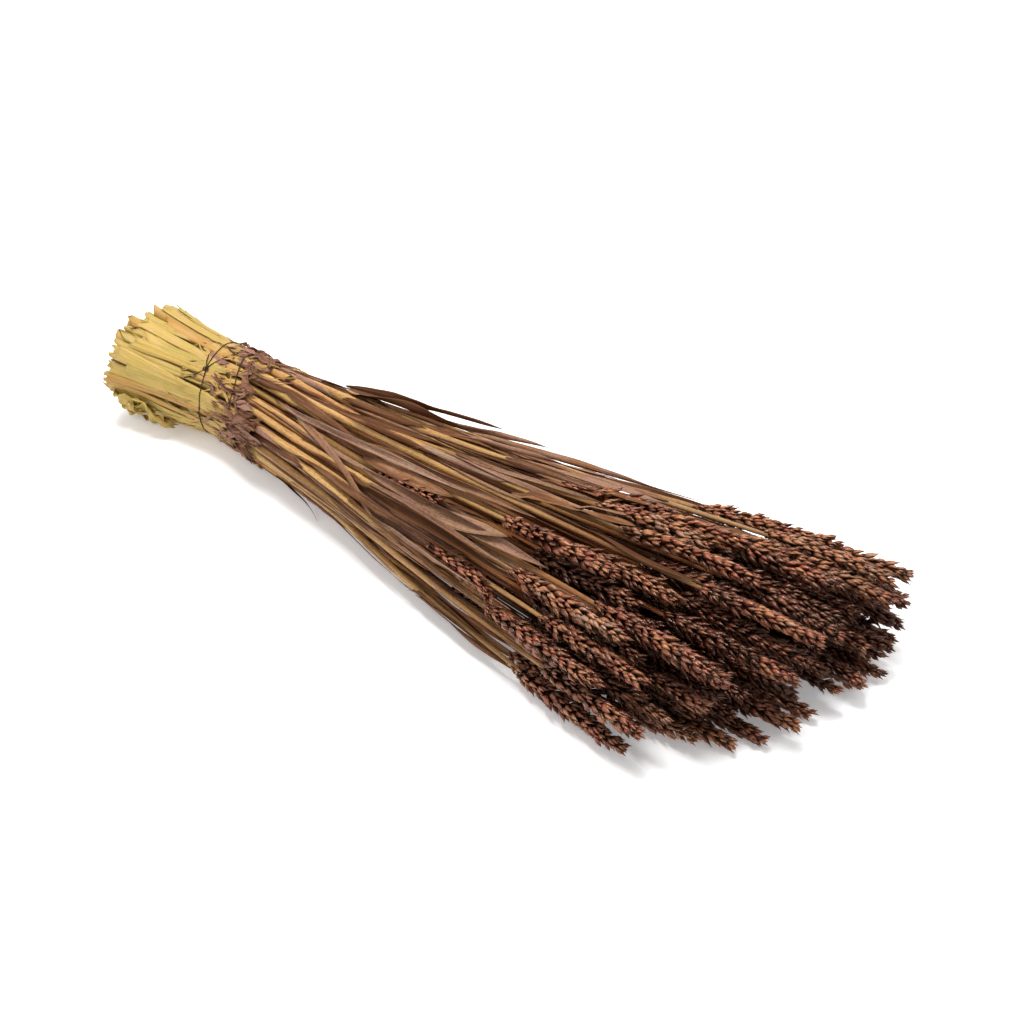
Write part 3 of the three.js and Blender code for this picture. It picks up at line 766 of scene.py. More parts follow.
def add_brown_sheaths(shape, stalk, rng, sizes):
    """Dry brown sheaths, each from a knee of the straw upwards."""
    for knee in (stalk.neck + rng.uniform(-6, 45), *stalk.knees):
        end = min(knee + rng.uniform(45, 120), stalk.foot - 4)
        if end > knee + 25 and rng.uniform() < sizes.sheathed:
            add_sheath(shape, stalk, rng, knee + 1, end, LEAF, rng.uniform(1.3, 2.8), 0.6)


def add_strips(shape, stalk, rng, sizes):
    """Narrow strips of leaf, and the topmost leaf, shrunk along the straw up to its ear."""
    for _ in range(sizes.strips):
        start = stalk.neck + rng.uniform(4, 220)
        end = min(start + rng.uniform(60, 170), stalk.foot + 15)
        if end > start + 40:
            loose = rng.uniform(5, 11) if rng.uniform() < sizes.loose_tips else 0
            add_strip(shape, stalk, rng, start, end, 1.3 + 3 * rng.uniform() ** 1.5, loose)
    start = max(stalk.foot - rng.uniform(80, 150), stalk.neck + 30)
    if start < stalk.foot - 45:
        end = stalk.foot + rng.uniform(-12, 12)
        add_strip(shape, stalk, rng, start, end, rng.uniform(2, 4))


def add_leaf_across(shape, stalk, rng):
    """A narrow leaf of an outer stalk, lying across its neighbours."""
    start = stalk.neck + rng.uniform(30, 170)
    x = np.arange(start, min(start + rng.uniform(90, 170), stalk.foot + 30), 5.0)
    aside = rng.uniform(-0.22, 0.22) * np.linspace(0, 1, len(x)) ** 1.5
    width, lift = rng.uniform(2.4, 4.6), rng.uniform(-1.6, 0.2)
    add_lying_leaf(shape, rng, x, OUTSIDE.angle_of(stalk, x) + aside, width, lift, rng.uniform())


def straws_object(name, stalks, sizes):
    """The straws of a node with their sheaths, strips and leaves."""
    shape = Shape()
    for stalk in stalks:
        rng = np.random.default_rng(STALK_SEED + stalk.rank)
        add_straw(shape, stalk, rng, sizes)
        add_cut_end(shape, stalk, rng, sizes)
        add_brown_sheaths(shape, stalk, rng, sizes)
        add_strips(shape, stalk, rng, sizes)
        if stalk.rank >= STALKS - sizes.lying_leaves:
            add_leaf_across(shape, stalk, rng)
        if stalk.leaf:
            add_leaf(shape, stalk, rng, sizes)
    return shape.object(name, stalk_materials())


# ---------------------------------------------------------------- ears

# A scale's rings: how far up its length each is, and how wide
GRAIN_PROFILE = ((0.0, 0.42), (0.16, 0.86), (0.42, 1.0), (0.7, 0.82), (0.9, 0.42))
GRAIN_SIDES = 6
GRAIN_ROOT = 1.7  # distance of a scale's root from the middle of the stem
# The fan of scales: direction from the fan's middle, place up the stem, lean, size and shade of each
FAN = (
    (-1.42, -1.2, 0.28, 0.82, 0.15),
    (1.42, -1.2, 0.28, 0.82, 0.45),
    (-0.98, 0.2, 0.45, 0.98, 0.85),
    (0.98, 0.2, 0.45, 0.98, 0.60),
    (-0.42, 1.6, 0.54, 1.00, 0.35),
    (0.42, 1.6, 0.54, 1.00, 0.95),
    (0.0, 3.2, 0.42, 0.84, 0.30),
)
PATTERNS = 6  # different fans, so that no two neighbours look alike
BEAKS = (1.08, 1.16, 1.32)  # how long a scale is with its beak
EAR_POINTS, EARLY_EAR_POINTS = 9, 5  # points of an ear's line
EAR_CORE = 1.4  # radius of the stem inside an ear
EAR_UNEVENNESS = 0.17
TIP_SHARE = 0.85  # of a scale's length, by which an ear's line ends before its tip


def add_grain(shape, rng, direction, up_stem, lean, length, width, shade):
    """One plump scale with a keel and a beak. It grows up Z, and faces away from the stem."""
    turn = np.arange(GRAIN_SIDES) * 2 * math.pi / GRAIN_SIDES
    depth = width * rng.uniform(0.9, 1.2)
    bulge = np.where(np.cos(turn) > 0.9, 1.2, np.where(np.cos(turn) > 0, 0.95, 0.7))
    away = np.array([math.cos(direction), math.sin(direction), 0])
    up = np.array([0, 0, math.cos(lean)]) + away * math.sin(lean)
    out = away * math.cos(lean) - np.array([0, 0, math.sin(lean)])
    side = np.cross(up, out)
    twist = rng.uniform(-0.5, 0.5)
    c, s = math.cos(twist), math.sin(twist)
    out, side = out * c + side * s, side * c - out * s
    at = away * GRAIN_ROOT + np.array([0, 0, up_stem])
    rows = []
    for share, full in GRAIN_PROFILE:
        centre = at + up * length * share + out * 0.2 * depth * math.sin(math.pi * share)
        rows.append(
            centre
            + np.outer(np.cos(turn) * bulge * depth / 2 * full, out)
            + np.outer(np.sin(turn) * width / 2 * full, side)
        )
    levels = [share for share, _ in GRAIN_PROFILE]
    base = shape.grid(rows, 0, True, shade, True, across=np.abs(np.sin(turn)), along=levels)
    count = len(rows) * GRAIN_SIDES
    beak = rng.choice(BEAKS)
    shape.vertices.append(at - up * length * 0.05)
    shape.vertices.append(at + up * length * beak + out * depth * rng.uniform(-0.1, 0.3))
    for key, low, high in (("tone", shade, shade), ("across", 0, 0), ("along", 0, 1)):
        shape.values[key].extend([low, high])
    top = base + count - GRAIN_SIDES
    for j in range(GRAIN_SIDES):
        k = (j + 1) % GRAIN_SIDES
        shape.add_face((base + j, base + k, base + count), 0)
        shape.add_face((top + k, top + j, base + count + 1), 0)


def spikelet_patterns(sizes):
    """Fans of scales that repeat up an ear: two short outer ones, four long ones and one between."""
    rng = np.random.default_rng(FAN_SEED)
    length, width = sizes.scale_length / MM, sizes.scale_width / MM
    collection = bpy.data.collections.new("spikelet_patterns")
    for number in range(PATTERNS):
        shape = Shape()
        plump = rng.uniform(0.85, 1.08)
        for direction, up_stem, lean, size, shade in FAN:
            grown = size * rng.uniform(0.86, 1.12)
            add_grain(
                shape,
                rng,
                direction + rng.uniform(-0.16, 0.16),
                up_stem + rng.uniform(-0.7, 0.7),
                lean + rng.uniform(-0.1, 0.14),
                length * grown,
                width * mix(grown, 1, 0.5) * plump,
                (shade + rng.uniform(0, 0.5)) % 1,
            )
        pattern = shape.object(f"spikelet_pattern_{number}", [])
        bpy.context.scene.collection.objects.unlink(pattern)
        collection.objects.link(pattern)
    return collection


class Tree:
    """A Geometry Nodes tree with named inputs, built node by node."""

    def __init__(self, name):
        self.group = bpy.data.node_groups.new(name, "GeometryNodeTree")
        self.group.interface.new_socket("Geometry", in_out="INPUT", socket_type="NodeSocketGeometry")
        self.group.interface.new_socket("Geometry", in_out="OUTPUT", socket_type="NodeSocketGeometry")
        self.inputs = self.group.nodes.new("NodeGroupInput")
        self.output = self.group.nodes.new("NodeGroupOutput")
        self.sockets = {}

    def input(self, name, kind, description, default=None):
        """Adds a named input, and gives the socket that carries it."""
        socket = self.group.interface.new_socket(name, in_out="INPUT", socket_type="NodeSocket" + kind)
        socket.description = description
        if default is not None:
            socket.default_value = default
        self.sockets[name] = socket
        return self.inputs.outputs[name]

    def node(self, kind, settings=None, values=None):
        """A node with its settings made first, and then its sockets given values or links."""
        node = self.group.nodes.new(kind)
        for key, value in (settings or {}).items():
            setattr(node, key, value)
        for key, value in (values or {}).items():
            socket = node.inputs[key]
            if isinstance(value, bpy.types.NodeSocket):
                self.group.links.new(value, socket)
            else:
                socket.default_value = value
        return node

    def made(self, kind, settings=None, values=None):
        """The first output of such a node."""
        return self.node(kind, settings, values).outputs[0]

    def math(self, operation, first, second=0.0):
        return self.made("ShaderNodeMath", {"operation": operation}, {0: first, 1: second})

    def finish(self, geometry, material):
        """Shades the geometry smooth, gives it its material, and hands it out."""
        smooth = self.made("GeometryNodeSetShadeSmooth", values={0: geometry})
        painted = self.made("GeometryNodeSetMaterial", values={"Geometry": smooth, "Material": material})
        self.group.links.new(painted, self.output.inputs[0])

    def apply(self, obj, values):
        """Runs the tree on an object with these input values, and leaves a plain mesh."""
        modifier = obj.modifiers.new(self.group.name, "NODES")
        modifier.node_group = self.group
        for name, value in values.items():
            modifier[self.sockets[name].identifier] = value
        graph = bpy.context.evaluated_depsgraph_get()
        graph.update()
        mesh = bpy.data.meshes.new_from_object(obj.evaluated_get(graph), depsgraph=graph)
        obj.modifiers.clear()
        obj.data = mesh
        return obj


def ear_tree():
    """Sets spikelets alternately on the two sides of each ear's line, smaller at foot and tip."""
    tree = Tree("Ear of spikelets")
    count = tree.input("Spikelets", "Int", "Fans of scales on one ear", 24)
    patterns = tree.input("Spikelets To Repeat", "Collection", "The fans of scales to choose from")
    size = tree.input("Size", "Float", "Size of the fans", 1.0)
    uneven = tree.input("Unevenness", "Float", "How much the fans differ in size and turn", EAR_UNEVENNESS)
    core = tree.input("Core Radius", "Float", "Radius of the stem inside the ear", EAR_CORE * MM)
    seed = tree.input("Seed", "Int", "Which of the random ears this is")
    tone = tree.input("Tone", "Float", "How light and red this ear is, from 0 to 1")
    material = tree.input("Material", "Material", "Finish of the scales")

    roll = tree.node("GeometryNodeInputNamedAttribute", {"data_type": "FLOAT"}, {"Name": "roll"})
    line = tree.made("GeometryNodeMeshToCurve", values={"Mesh": tree.inputs.outputs[0]})
    line = tree.made("GeometryNodeSetCurveNormal", {"mode": "Z_UP"}, {"Curve": line})
    line = tree.made("GeometryNodeSetCurveTilt", values={"Curve": line, "Tilt": roll.outputs["Attribute"]})
    points = tree.node("GeometryNodeCurveToPoints", {"mode": "COUNT"}, {"Curve": line, "Count": count})

    index = tree.made("GeometryNodeInputIndex")
    other_side = tree.math("MODULO", index, 2.0)
    last = tree.math("SUBTRACT", count, 1.0)
    share = tree.math("DIVIDE", tree.math("MODULO", index, count), last)
    fullness = tree.node("ShaderNodeFloatCurve", values={"Value": share})
    curve = fullness.mapping.curves[0]
    for point, place in zip(curve.points, ((0.0, 0.58), (1.0, 0.66))):
        point.location = place
    for place in ((0.13, 0.94), (0.4, 1.0), (0.72, 0.97)):
        curve.points.new(*place)
    fullness.mapping.update()

    def random(low, high, salt):
        node = tree.node(
            "FunctionNodeRandomValue", {"data_type": "FLOAT"}, {"Seed": tree.math("ADD", seed, float(salt))}
        )
        floats = [s for s in node.inputs if s.type == "VALUE" and s.name in ("Min", "Max")]
        for socket, value in zip(floats, (low, high)):
            if isinstance(value, bpy.types.NodeSocket):
                tree.group.links.new(value, socket)
            else:
                socket.default_value = value
        return next(s for s in node.outputs if s.type == "VALUE")

    less = tree.math("MULTIPLY", uneven, -1.0)
    lean = tree.math("ADD", random(less, uneven, 1), tree.math("MULTIPLY", share, -0.12))
    half_turn = tree.math("MULTIPLY", other_side, math.pi)
    turn = tree.math("ADD", half_turn, tree.math("MULTIPLY", random(less, uneven, 2), 1.6))
    sway = tree.math("MULTIPLY", random(less, uneven, 3), 0.8)
    euler = tree.made("ShaderNodeCombineXYZ", values={0: sway, 1: lean, 2: turn})
    by = tree.made("FunctionNodeEulerToRotation", values={0: euler})
    along = points.outputs["Rotation"]
    rotation = tree.made("FunctionNodeRotateRotation", {"rotation_space": "LOCAL"}, {0: along, 1: by})
    full = tree.math("MULTIPLY", fullness.outputs[0], size)
    scale = tree.math("MULTIPLY", full, tree.math("ADD", 1.0, random(less, uneven, 4)))
    fan = tree.made(
        "GeometryNodeCollectionInfo",
        {"transform_space": "ORIGINAL"},
        {"Collection": patterns, "Separate Children": True, "Reset Children": True},
    )
    which = tree.math("FLOOR", random(0.0, float(PATTERNS) - 0.001, 6))
    fans = tree.made(
        "GeometryNodeInstanceOnPoints",
        values={
            "Points": points.outputs["Points"],
            "Instance": fan,
            "Pick Instance": True,
            "Instance Index": which,
            "Rotation": rotation,
            "Scale": scale,
        },
    )
    fans = tree.made(
        "GeometryNodeStoreNamedAttribute",
        {"data_type": "FLOAT", "domain": "INSTANCE"},
        {"Geometry": fans, "Name": "fan", "Value": random(0.0, 1.0, 5)},
    )

    ring = tree.made("GeometryNodeCurvePrimitiveCircle", values={"Resolution": 8, "Radius": core})
    sweep = {"Curve": line, "Profile Curve": ring, "Fill Caps": True}
    stem = tree.made("GeometryNodeCurveToMesh", values=sweep)
    both = tree.node("GeometryNodeJoinGeometry")
    for part in (fans, stem):
        tree.group.links.new(part, both.inputs[0])
    whole = tree.made("GeometryNodeRealizeInstances", values={"Geometry": both.outputs[0]})
    whole = tree.made(
        "GeometryNodeStoreNamedAttribute",
        {"data_type": "FLOAT", "domain": "POINT"},
        {"Geometry": whole, "Name": "ear", "Value": tone},
    )
    tree.finish(whole, material)
    return tree


class Ears:
    """Makes ears along the lines of stalks, all from the same fans of scales."""

    def __init__(self, sizes):
        self.sizes = sizes
        self.material = finishes()["ear_scales"]
        self.patterns = spikelet_patterns(sizes)
        self.tree = ear_tree()

    def along(self, name, stalk):
        """One ear, from the foot to the tip of its stalk's line."""
        scale_length = self.sizes.scale_length / MM
        x = np.linspace(stalk.foot + 1, stalk.tip - scale_length * TIP_SHARE, EAR_POINTS)
        mesh = bpy.data.meshes.new(name)
        edges = [(i, i + 1) for i in range(EAR_POINTS - 1)]
        mesh.from_pydata((stalk.line.points(x) * MM).tolist(), edges, [])
        roll = np.full(EAR_POINTS, stalk.roll, np.float32)
        mesh.attributes.new("roll", "FLOAT", "POINT").data.foreach_set("value", roll)
        obj = bpy.data.objects.new(name, mesh)
        bpy.context.scene.collection.objects.link(obj)
        spacing = self.sizes.spikelet_spacing / MM
        return self.tree.apply(
            obj,
            {
                "Spikelets": 2 * round((stalk.tip - stalk.foot) / spacing / 2),
                "Spikelets To Repeat": self.patterns,
                "Size": 1.0,
                "Unevenness": EAR_UNEVENNESS,
                "Core Radius": EAR_CORE * MM,
                "Seed": 7 * stalk.rank + 3,
                "Tone": (0.5 + GOLDEN_ANGLE * stalk.rank) % 1,
                "Material": self.material,
            },
        )

    def done(self):
        """Removes the fans, which no ear needs any more."""
        for pattern in list(self.patterns.objects):
            bpy.data.objects.remove(pattern)
        bpy.data.collections.remove(self.patterns)


class EarlyEar:
    """A short ear on the outside of the bundle, with what Ears reads of a stalk."""

    def __init__(self, number, start, length, first_way, last_way, first_lift, last_lift):
        self.rank = STALKS + number
        self.foot = NECK_X + start
        self.tip = self.foot + length
        self.roll = 1.1 * number
        share = np.linspace(0, 1, EARLY_EAR_POINTS)
        x = mix(self.foot, self.tip, share)
        angle = np.radians(mix(first_way, last_way, share))
        self.line = Line(x, OUTSIDE.on(x, angle, mix(first_lift, last_lift, share))[:, 1:])


def joined(name, objects):
    """Joins objects into the first of them, and gives it this name."""
    first = objects[0]
    chosen = {"active_object": first, "object": first, "selected_editable_objects": objects}
    with bpy.context.temp_override(**chosen):
        bpy.ops.object.join()
    first.name = name
    return first


# ---------------------------------------------------------------- the string

LOOP_POINTS, CROSSING_POINTS, KNOT_POINTS, TAIL_POINTS = 72, 14, 32, 9
OVER_STRAWS = 0.7  # how far the string lies over the outside that is taken as convex
KNOT_SIZE = 0.8
TAILS = ((-0.75, 0.7, 17), (-0.35, -0.7, 15))  # how far each runs along and round, and its length
TWINE_LAY, TWINE_STEP, PLY_SIDES = 4.2, 0.7, 6


def string_paths(radius):
    """The two turns, the length that crosses between them, the knot and its two tails."""

    def places(x, angle, lift):
        return list(OUTSIDE.on(*np.broadcast_arrays(x * 1.0, angle, lift)))

    first, second = STRING_TURNS
    angles = KNOT_ANGLE + np.arange(LOOP_POINTS) * 2 * math.pi / LOOP_POINTS
    loops = [places(string_x(turn, angles), angles, radius + OVER_STRAWS) for turn in (first, second)]
    share = np.linspace(0, 1, CROSSING_POINTS)
    knot_x = string_x(first, KNOT_ANGLE)
    across = mix(knot_x, string_x(second, CROSSING_ANGLE), share)
    crossing = places(across, mix(KNOT_ANGLE, CROSSING_ANGLE, share), radius * 1.7 + OVER_STRAWS)
    # a trefoil drawn small: an overhand knot pulled tight
    t = np.arange(KNOT_POINTS) * 2 * math.pi / KNOT_POINTS
    along = KNOT_SIZE * (np.sin(t) + 2 * np.sin(2 * t))
    sideways = KNOT_SIZE * (np.cos(t) - 2 * np.cos(2 * t))
    lift = radius * 3.2 - KNOT_SIZE * np.sin(3 * t)
    knot = places(knot_x + along, KNOT_ANGLE + sideways / KNOT_REACH, lift)
    share = np.linspace(0, 1, TAIL_POINTS)
    lift = radius * 2.2 + 2 * share**2
    tails = []
    for ahead, turned, length in TAILS:
        sideways = length * turned * share + 2.2 * np.sin(3 * share) * share
        tails.append(places(knot_x + length * ahead * share, KNOT_ANGLE + sideways / KNOT_REACH, lift))
    return loops, [crossing, *tails], knot


def twine_tree():
    """Two plies twisted round each other along a line."""
    tree = Tree("Two-ply twine")
    radius = tree.input("Radius", "Float", "Radius of the whole twine", 0.00055)
    lay = tree.input("Lay", "Float", "Length of one turn of the plies", TWINE_LAY * MM)
    sides = tree.input("Sides", "Int", "Sides of each ply", PLY_SIDES)
    step = tree.input("Step", "Float", "Distance between the rings of a ply", TWINE_STEP * MM)
    material = tree.input("Material", "Material", "Finish of the twine")
    line = tree.made("GeometryNodeMeshToCurve", values={"Mesh": tree.inputs.outputs[0]})
    line = tree.made("GeometryNodeResampleCurve", {"mode": "LENGTH"}, {"Curve": line, "Length": step})
    length = tree.node("GeometryNodeSplineParameter").outputs["Length"]
    twist = tree.math("MULTIPLY", tree.math("DIVIDE", length, lay), 2 * math.pi)
    line = tree.made("GeometryNodeSetCurveTilt", values={"Curve": line, "Tilt": twist})
    half = tree.math("MULTIPLY", radius, 0.52)
    ply = tree.made("GeometryNodeCurvePrimitiveCircle", values={"Resolution": sides, "Radius": half})
    both = tree.node("GeometryNodeJoinGeometry")
    for way in (-0.9, 0.9):
        aside = tree.made("ShaderNodeCombineXYZ", values={0: tree.math("MULTIPLY", half, way)})
        moved = tree.made("GeometryNodeTransform", values={"Geometry": ply, "Translation": aside})
        tree.group.links.new(moved, both.inputs[0])
    sweep = {"Curve": line, "Profile Curve": both.outputs[0], "Fill Caps": True}
    mesh = tree.made("GeometryNodeCurveToMesh", values=sweep)
    tree.finish(tree.made("GeometryNodeRealizeInstances", values={"Geometry": mesh}), material)
    return tree


# ---------------------------------------------------------------- materials

OWN_PLACE = 57.0  # sets each straw or leaf at its own place in the noise
WARM_GLOSS = (1.0, 0.64, 0.38)  # tint of the gloss on straws and leaves
SATIN_GLOSS = (1.0, 0.60, 0.43)  # and on the ears


class Value:
    """A number that comes out of a socket and can be reckoned with."""

    def __init__(self, shader, socket):
        self.shader, self.socket = shader, socket

    def _math(self, operation, first, second):
        node = self.shader.node("Math", {"operation": operation}, {0: first, 1: second})
        return Value(self.shader, node.outputs[0])

    def __add__(self, other):
        return self._math("ADD", self, other)

    def __sub__(self, other):
        return self._math("SUBTRACT", self, other)

    def __rsub__(self, other):
        return self._math("SUBTRACT", other, self)

    def __mul__(self, other):
        return self._math("MULTIPLY", self, other)

    def __truediv__(self, other):
        return self._math("DIVIDE", self, other)

    def __pow__(self, other):
        return self._math("POWER", self, other)

    __radd__ = __add__
    __rmul__ = __mul__

    def fraction(self):
        """What is left after the whole number is taken away."""
        return self._math("FRACT", self, 0.0)

    def held(self):
        """The same, kept between 0 and 1."""
        node = self.shader.node("Clamp", values={0: self})
        return Value(self.shader, node.outputs[0])

    def over(self, start, gain):
        """How far it is over start, times gain and kept between 0 and 1."""
        return ((self - start) * gain).held()

    def under(self, start, gain):
        """How far it is under start, times gain and kept between 0 and 1."""
        return ((start - self) * gain).held()


class Shader:
    """A material's nodes, built one by one."""

    def __init__(self, name):
        self.material = bpy.data.materials.new(name)
        self.material.use_nodes = True
        self.tree = self.material.node_tree
        self.surface = self.tree.nodes["Principled BSDF"]

    def node(self, kind, settings=None, values=None):
        """A node with its settings made first, and then its sockets given values or links."""
        node = self.tree.nodes.new("ShaderNode" + kind)
        for key, value in (settings or {}).items():
            setattr(node, key, value)
        for key, value in (values or {}).items():
            self.set(node.inputs[key], value)
        return node

    def set(self, socket, value):
        if isinstance(value, Value):
            value = value.socket
        if isinstance(value, bpy.types.NodeSocket):
            self.tree.links.new(value, socket)
        elif socket.type == "RGBA" and len(value) == 3:
            socket.default_value = (*value, 1.0)
        else:
            socket.default_value = value

    def attribute(self, name):
        return Value(self, self.node("Attribute", {"attribute_name": name}).outputs["Fac"])

    def place(self, stretch=(1, 1, 1)):
        """The place on the object, in metres, stretched by these factors."""
        coordinates = self.node("TexCoord").outputs["Object"]
        return self.node("Mapping", values={"Vector": coordinates, "Scale": stretch}).outputs[0]

    def noise(self, stretch, detail=2.0, roughness=0.5):
        """Noise at the place on the object, whose grain is one over the stretch."""
        values = {"Vector": self.place(stretch), "Scale": 1.0, "Detail": detail, "Roughness": roughness}
        return Value(self, self.node("TexNoise", values=values).outputs[0])

    def strand_noise(self, lengthwise, crosswise, detail=2.0):
        """Noise that runs along a straw or leaf, whichever way it lies."""
        along, across = self.attribute("along") * lengthwise, self.attribute("across") * crosswise
        own = self.attribute("tone") * OWN_PLACE
        vector = self.node("CombineXYZ", values={0: along, 1: across, 2: own}).outputs[0]
        node = self.node("TexNoise", values={"Vector": vector, "Scale": 1.0, "Detail": detail})
        return Value(self, node.outputs[0])

    def ramp(self, value, stops):
        """The colour at a value on a ramp of stops."""
        node = self.node("ValToRGB", values={0: value})
        points = node.color_ramp.elements
        while len(points) < len(stops):
            points.new(0.5)
        for point, (position, colour) in zip(points, stops):
            point.position = position
            point.color = (*colour, 1.0)
        return node.outputs[0]

    def blend(self, share, first, second, way="MIX"):
        """The first colour, with share of the second blended in."""
        node = self.node("Mix", {"data_type": "RGBA", "blend_type": way, "clamp_factor": True})
        self.set(node.inputs[0], share)
        self.set(node.inputs[6], first)
        self.set(node.inputs[7], second)
        return node.outputs[2]

    def bump(self, height, distance):
        """A normal bumped by height, which is distance high."""
        values = {"Height": height, "Distance": distance, "Strength": 1.0}
        return self.node("Bump", values=values).outputs[0]

    def finish(self, colour, roughness, normal=None, specular=0.5, gloss=(1, 1, 1)):
        """Gives the surface its colour and gloss, and hands out the material."""
        self.set(self.surface.inputs["Base Color"], colour)
        self.set(self.surface.inputs["Roughness"], roughness)
        self.set(self.surface.inputs["Specular IOR Level"], specular)
        self.set(self.surface.inputs["Specular Tint"], gloss)
        if normal is not None:
            self.set(self.surface.inputs["Normal"], normal)
        return self.material


def darker(colour, share):
    return tuple(part * share for part in colour)


def along_bundle(shader):
    """0 at the cut ends and 1 at the ear tips."""
    x = shader.node("SeparateXYZ", values={0: shader.place()}).outputs[0]
    return ((Value(shader, x) - CAD_LOW.x) / (CAD_HIGH.x - CAD_LOW.x)).held()


def painted_gap_shade(shader, colour, gap_shade_tint, amount, power=1.0):
    """Painted shade: the colour darkened where it lies deep inside the bundle or against a neighbour."""
    bare = (1.0 - shader.attribute("deep") ** power) * (1.0 - shader.attribute("crevice") * 0.8)
    return shader.blend((1.0 - bare) * amount, colour, gap_shade_tint, "MULTIPLY")


def straw_finish(colours):
    """Pale at the cut end, golden further up and browner towards the ears, with fine ribs."""
    shader = Shader("dry_straw")
    tone = shader.attribute("tone")
    rib = shader.strand_noise(1.3, 22, 3.0)
    patch = shader.strand_noise(5, 3, 2.0)
    speck = shader.strand_noise(30, 14, 2.0)
    fleck = shader.noise((380, 900, 900), 3.0)
    place = (along_bundle(shader) + (patch - 0.5) * 0.14 + (tone - 0.5) * 0.05).held()
    plain = shader.ramp(
        place,
        [
            (0.0, colours.cut_end),
            (0.13, colours.cut_end),
            (0.22, colours.straw),
            (0.5, darker(colours.straw, 0.86)),
            (0.8, colours.straw_far),
        ],
    )
    above = place.over(0.15, 6.0)
    # some straws are dyed through and some are still green
    warm = shader.blend((tone - 0.8).held() * 3.6, plain, colours.orange_straw)
    green = shader.blend((0.5 - tone).held() * (1.3 - above * 1.1), warm, colours.green_straw)
    beige = shader.blend(patch.over(0.5, 4.0) * (1.0 - above) * 0.6, green, colours.beige_straw)
    dyed = shader.blend(patch.over(0.52, 5.0) * above * 0.7, beige, colours.leaf)
    streaked = shader.blend(rib.under(0.47, 4.0) * (0.17 + above * 0.7), dyed, colours.straw_shade)
    mottled = shader.blend(fleck.under(0.5, 6.0) * (0.12 + above * 0.6), streaked, colours.leaf)
    specked = shader.blend(speck.under(0.36, 7.0) * (0.2 + above * 0.6), mottled, colours.sheath)
    light = shader.blend(rib.over(0.56, 4.0) * 0.4, specked, colours.straw_light)
    # painted shade deep in the bundle and between stalks, stronger towards the ears
    colour = painted_gap_shade(shader, light, colours.gap_shade_tint, 0.3 + above * 0.62, 1.5)
    return shader.finish(colour, 0.3 + rib * 0.3, shader.bump(rib, 0.0005), 0.5, WARM_GLOSS)


def scale_finish(colours):
    """Reddish brown scales, with a painted highlight along their keels and painted shade on their sides and
    at their bases between them.
    """
    shader = Shader("ear_scales")
    tone, fan, ear = shader.attribute("tone"), shader.attribute("fan"), shader.attribute("ear")
    up, across = shader.attribute("along"), shader.attribute("across")
    grain = shader.noise((260, 260, 260), 2.0)
    fine = shader.noise((600, 1800, 1800), 2.0)
    own = (tone * 7.0 + fan * 5.0).fraction()
    patch = shader.noise((45, 45, 45), 1.0)
    shade = own * 0.6 + (ear - 0.5) * 0.5 + (patch - 0.5) * 1.6 + (grain - 0.5) * 0.4 + 0.17
    body = shader.ramp(
        shade.held(),
        [
            (0.0, colours.ear_dark),
            (0.25, colours.ear_red),
            (0.5, colours.ear),
            (0.75, colours.ear_tan),
            (1.0, colours.ear_grey),
        ],
    )
    # painted highlight along the middle of each scale's keel, broken up by fine noise
    keel = across.under(0.55, 2.4) * up.over(0.2, 3.0)
    keel_highlight = shader.blend(keel * fine.over(0.38, 4.0) * (0.15 + tone * 0.6), body, colours.ear_keel_highlight)
    # painted shade on the flanks of each scale, where its neighbours shade it
    side = shader.blend(across.over(0.5, 2.6) * 0.9, keel_highlight, darker(colours.ear_dark, 0.5))
    # painted shade at the base of each scale, in the gaps between scales
    deep = shader.blend(up.under(0.4, 2.8) * 0.95, side, darker(colours.ear_dark, 0.3))
    tip = shader.blend(up.over(0.84, 4.0) * (1.0 - own) * 0.7, deep, darker(colours.ear_dark, 0.7))
    # painted shade deep in the bundle and between stalks
    colour = painted_gap_shade(shader, tip, darker(colours.gap_shade_tint, 0.5), 1.0, 0.8)
    return shader.finish(colour, 0.2 + grain * 0.25, shader.bump(fine, 0.0003), 0.9, SATIN_GLOSS)


def leaf_finish(colours):
    """Papery dry leaf and sheath: brown, purple and grey, with fine veins."""
    shader = Shader("papery_leaf")
    tone = shader.attribute("tone")
    vein = shader.strand_noise(1.6, 16, 3.0)
    patch = shader.strand_noise(4.5, 2.5, 3.0)
    speck = shader.strand_noise(26, 12, 2.0)
    fleck = shader.noise((420, 900, 900), 3.0)
    near_tie = (1.0 - (along_bundle(shader) - 0.17) * 7.0).held()
    body = shader.ramp(
        (tone + (patch - 0.5) * 1.1).held(),
        [
            (0.0, darker(colours.sheath, 0.7)),
            (0.28, colours.sheath),
            (0.5, colours.leaf),
            (0.72, colours.taupe),
            (0.9, colours.mauve),
            (1.0, darker(colours.grey_leaf, 0.9)),
        ],
    )
    mauve = shader.blend((near_tie * (patch + 0.2) + (patch - 0.64) * 1.6).held(), body, colours.mauve)
    bleached = ((tone - 0.47).held() * (0.6 - tone).held() * 120.0).held()
    grey = shader.blend(bleached * 0.85, mauve, colours.grey_leaf)
    mottled = shader.blend(fleck.under(0.5, 5.0) * 0.55, grey, darker(colours.sheath, 0.7))
    veined = shader.blend(vein.under(0.49, 4.5) * 0.75, mottled, darker(colours.sheath, 0.4))
    specked = shader.blend(speck.under(0.36, 7.0) * 0.6, veined, darker(colours.sheath, 0.3))
    light = shader.blend(vein.over(0.56, 4.0) * 0.4, specked, colours.grey_leaf)
    # painted shade deep in the bundle and between stalks, weaker near the string
    colour = painted_gap_shade(shader, light, colours.gap_shade_tint, 0.95 - near_tie * 0.35, 1.5)
    return shader.finish(colour, 0.5 + vein * 0.3, shader.bump(vein, 0.0005), 0.25, WARM_GLOSS)


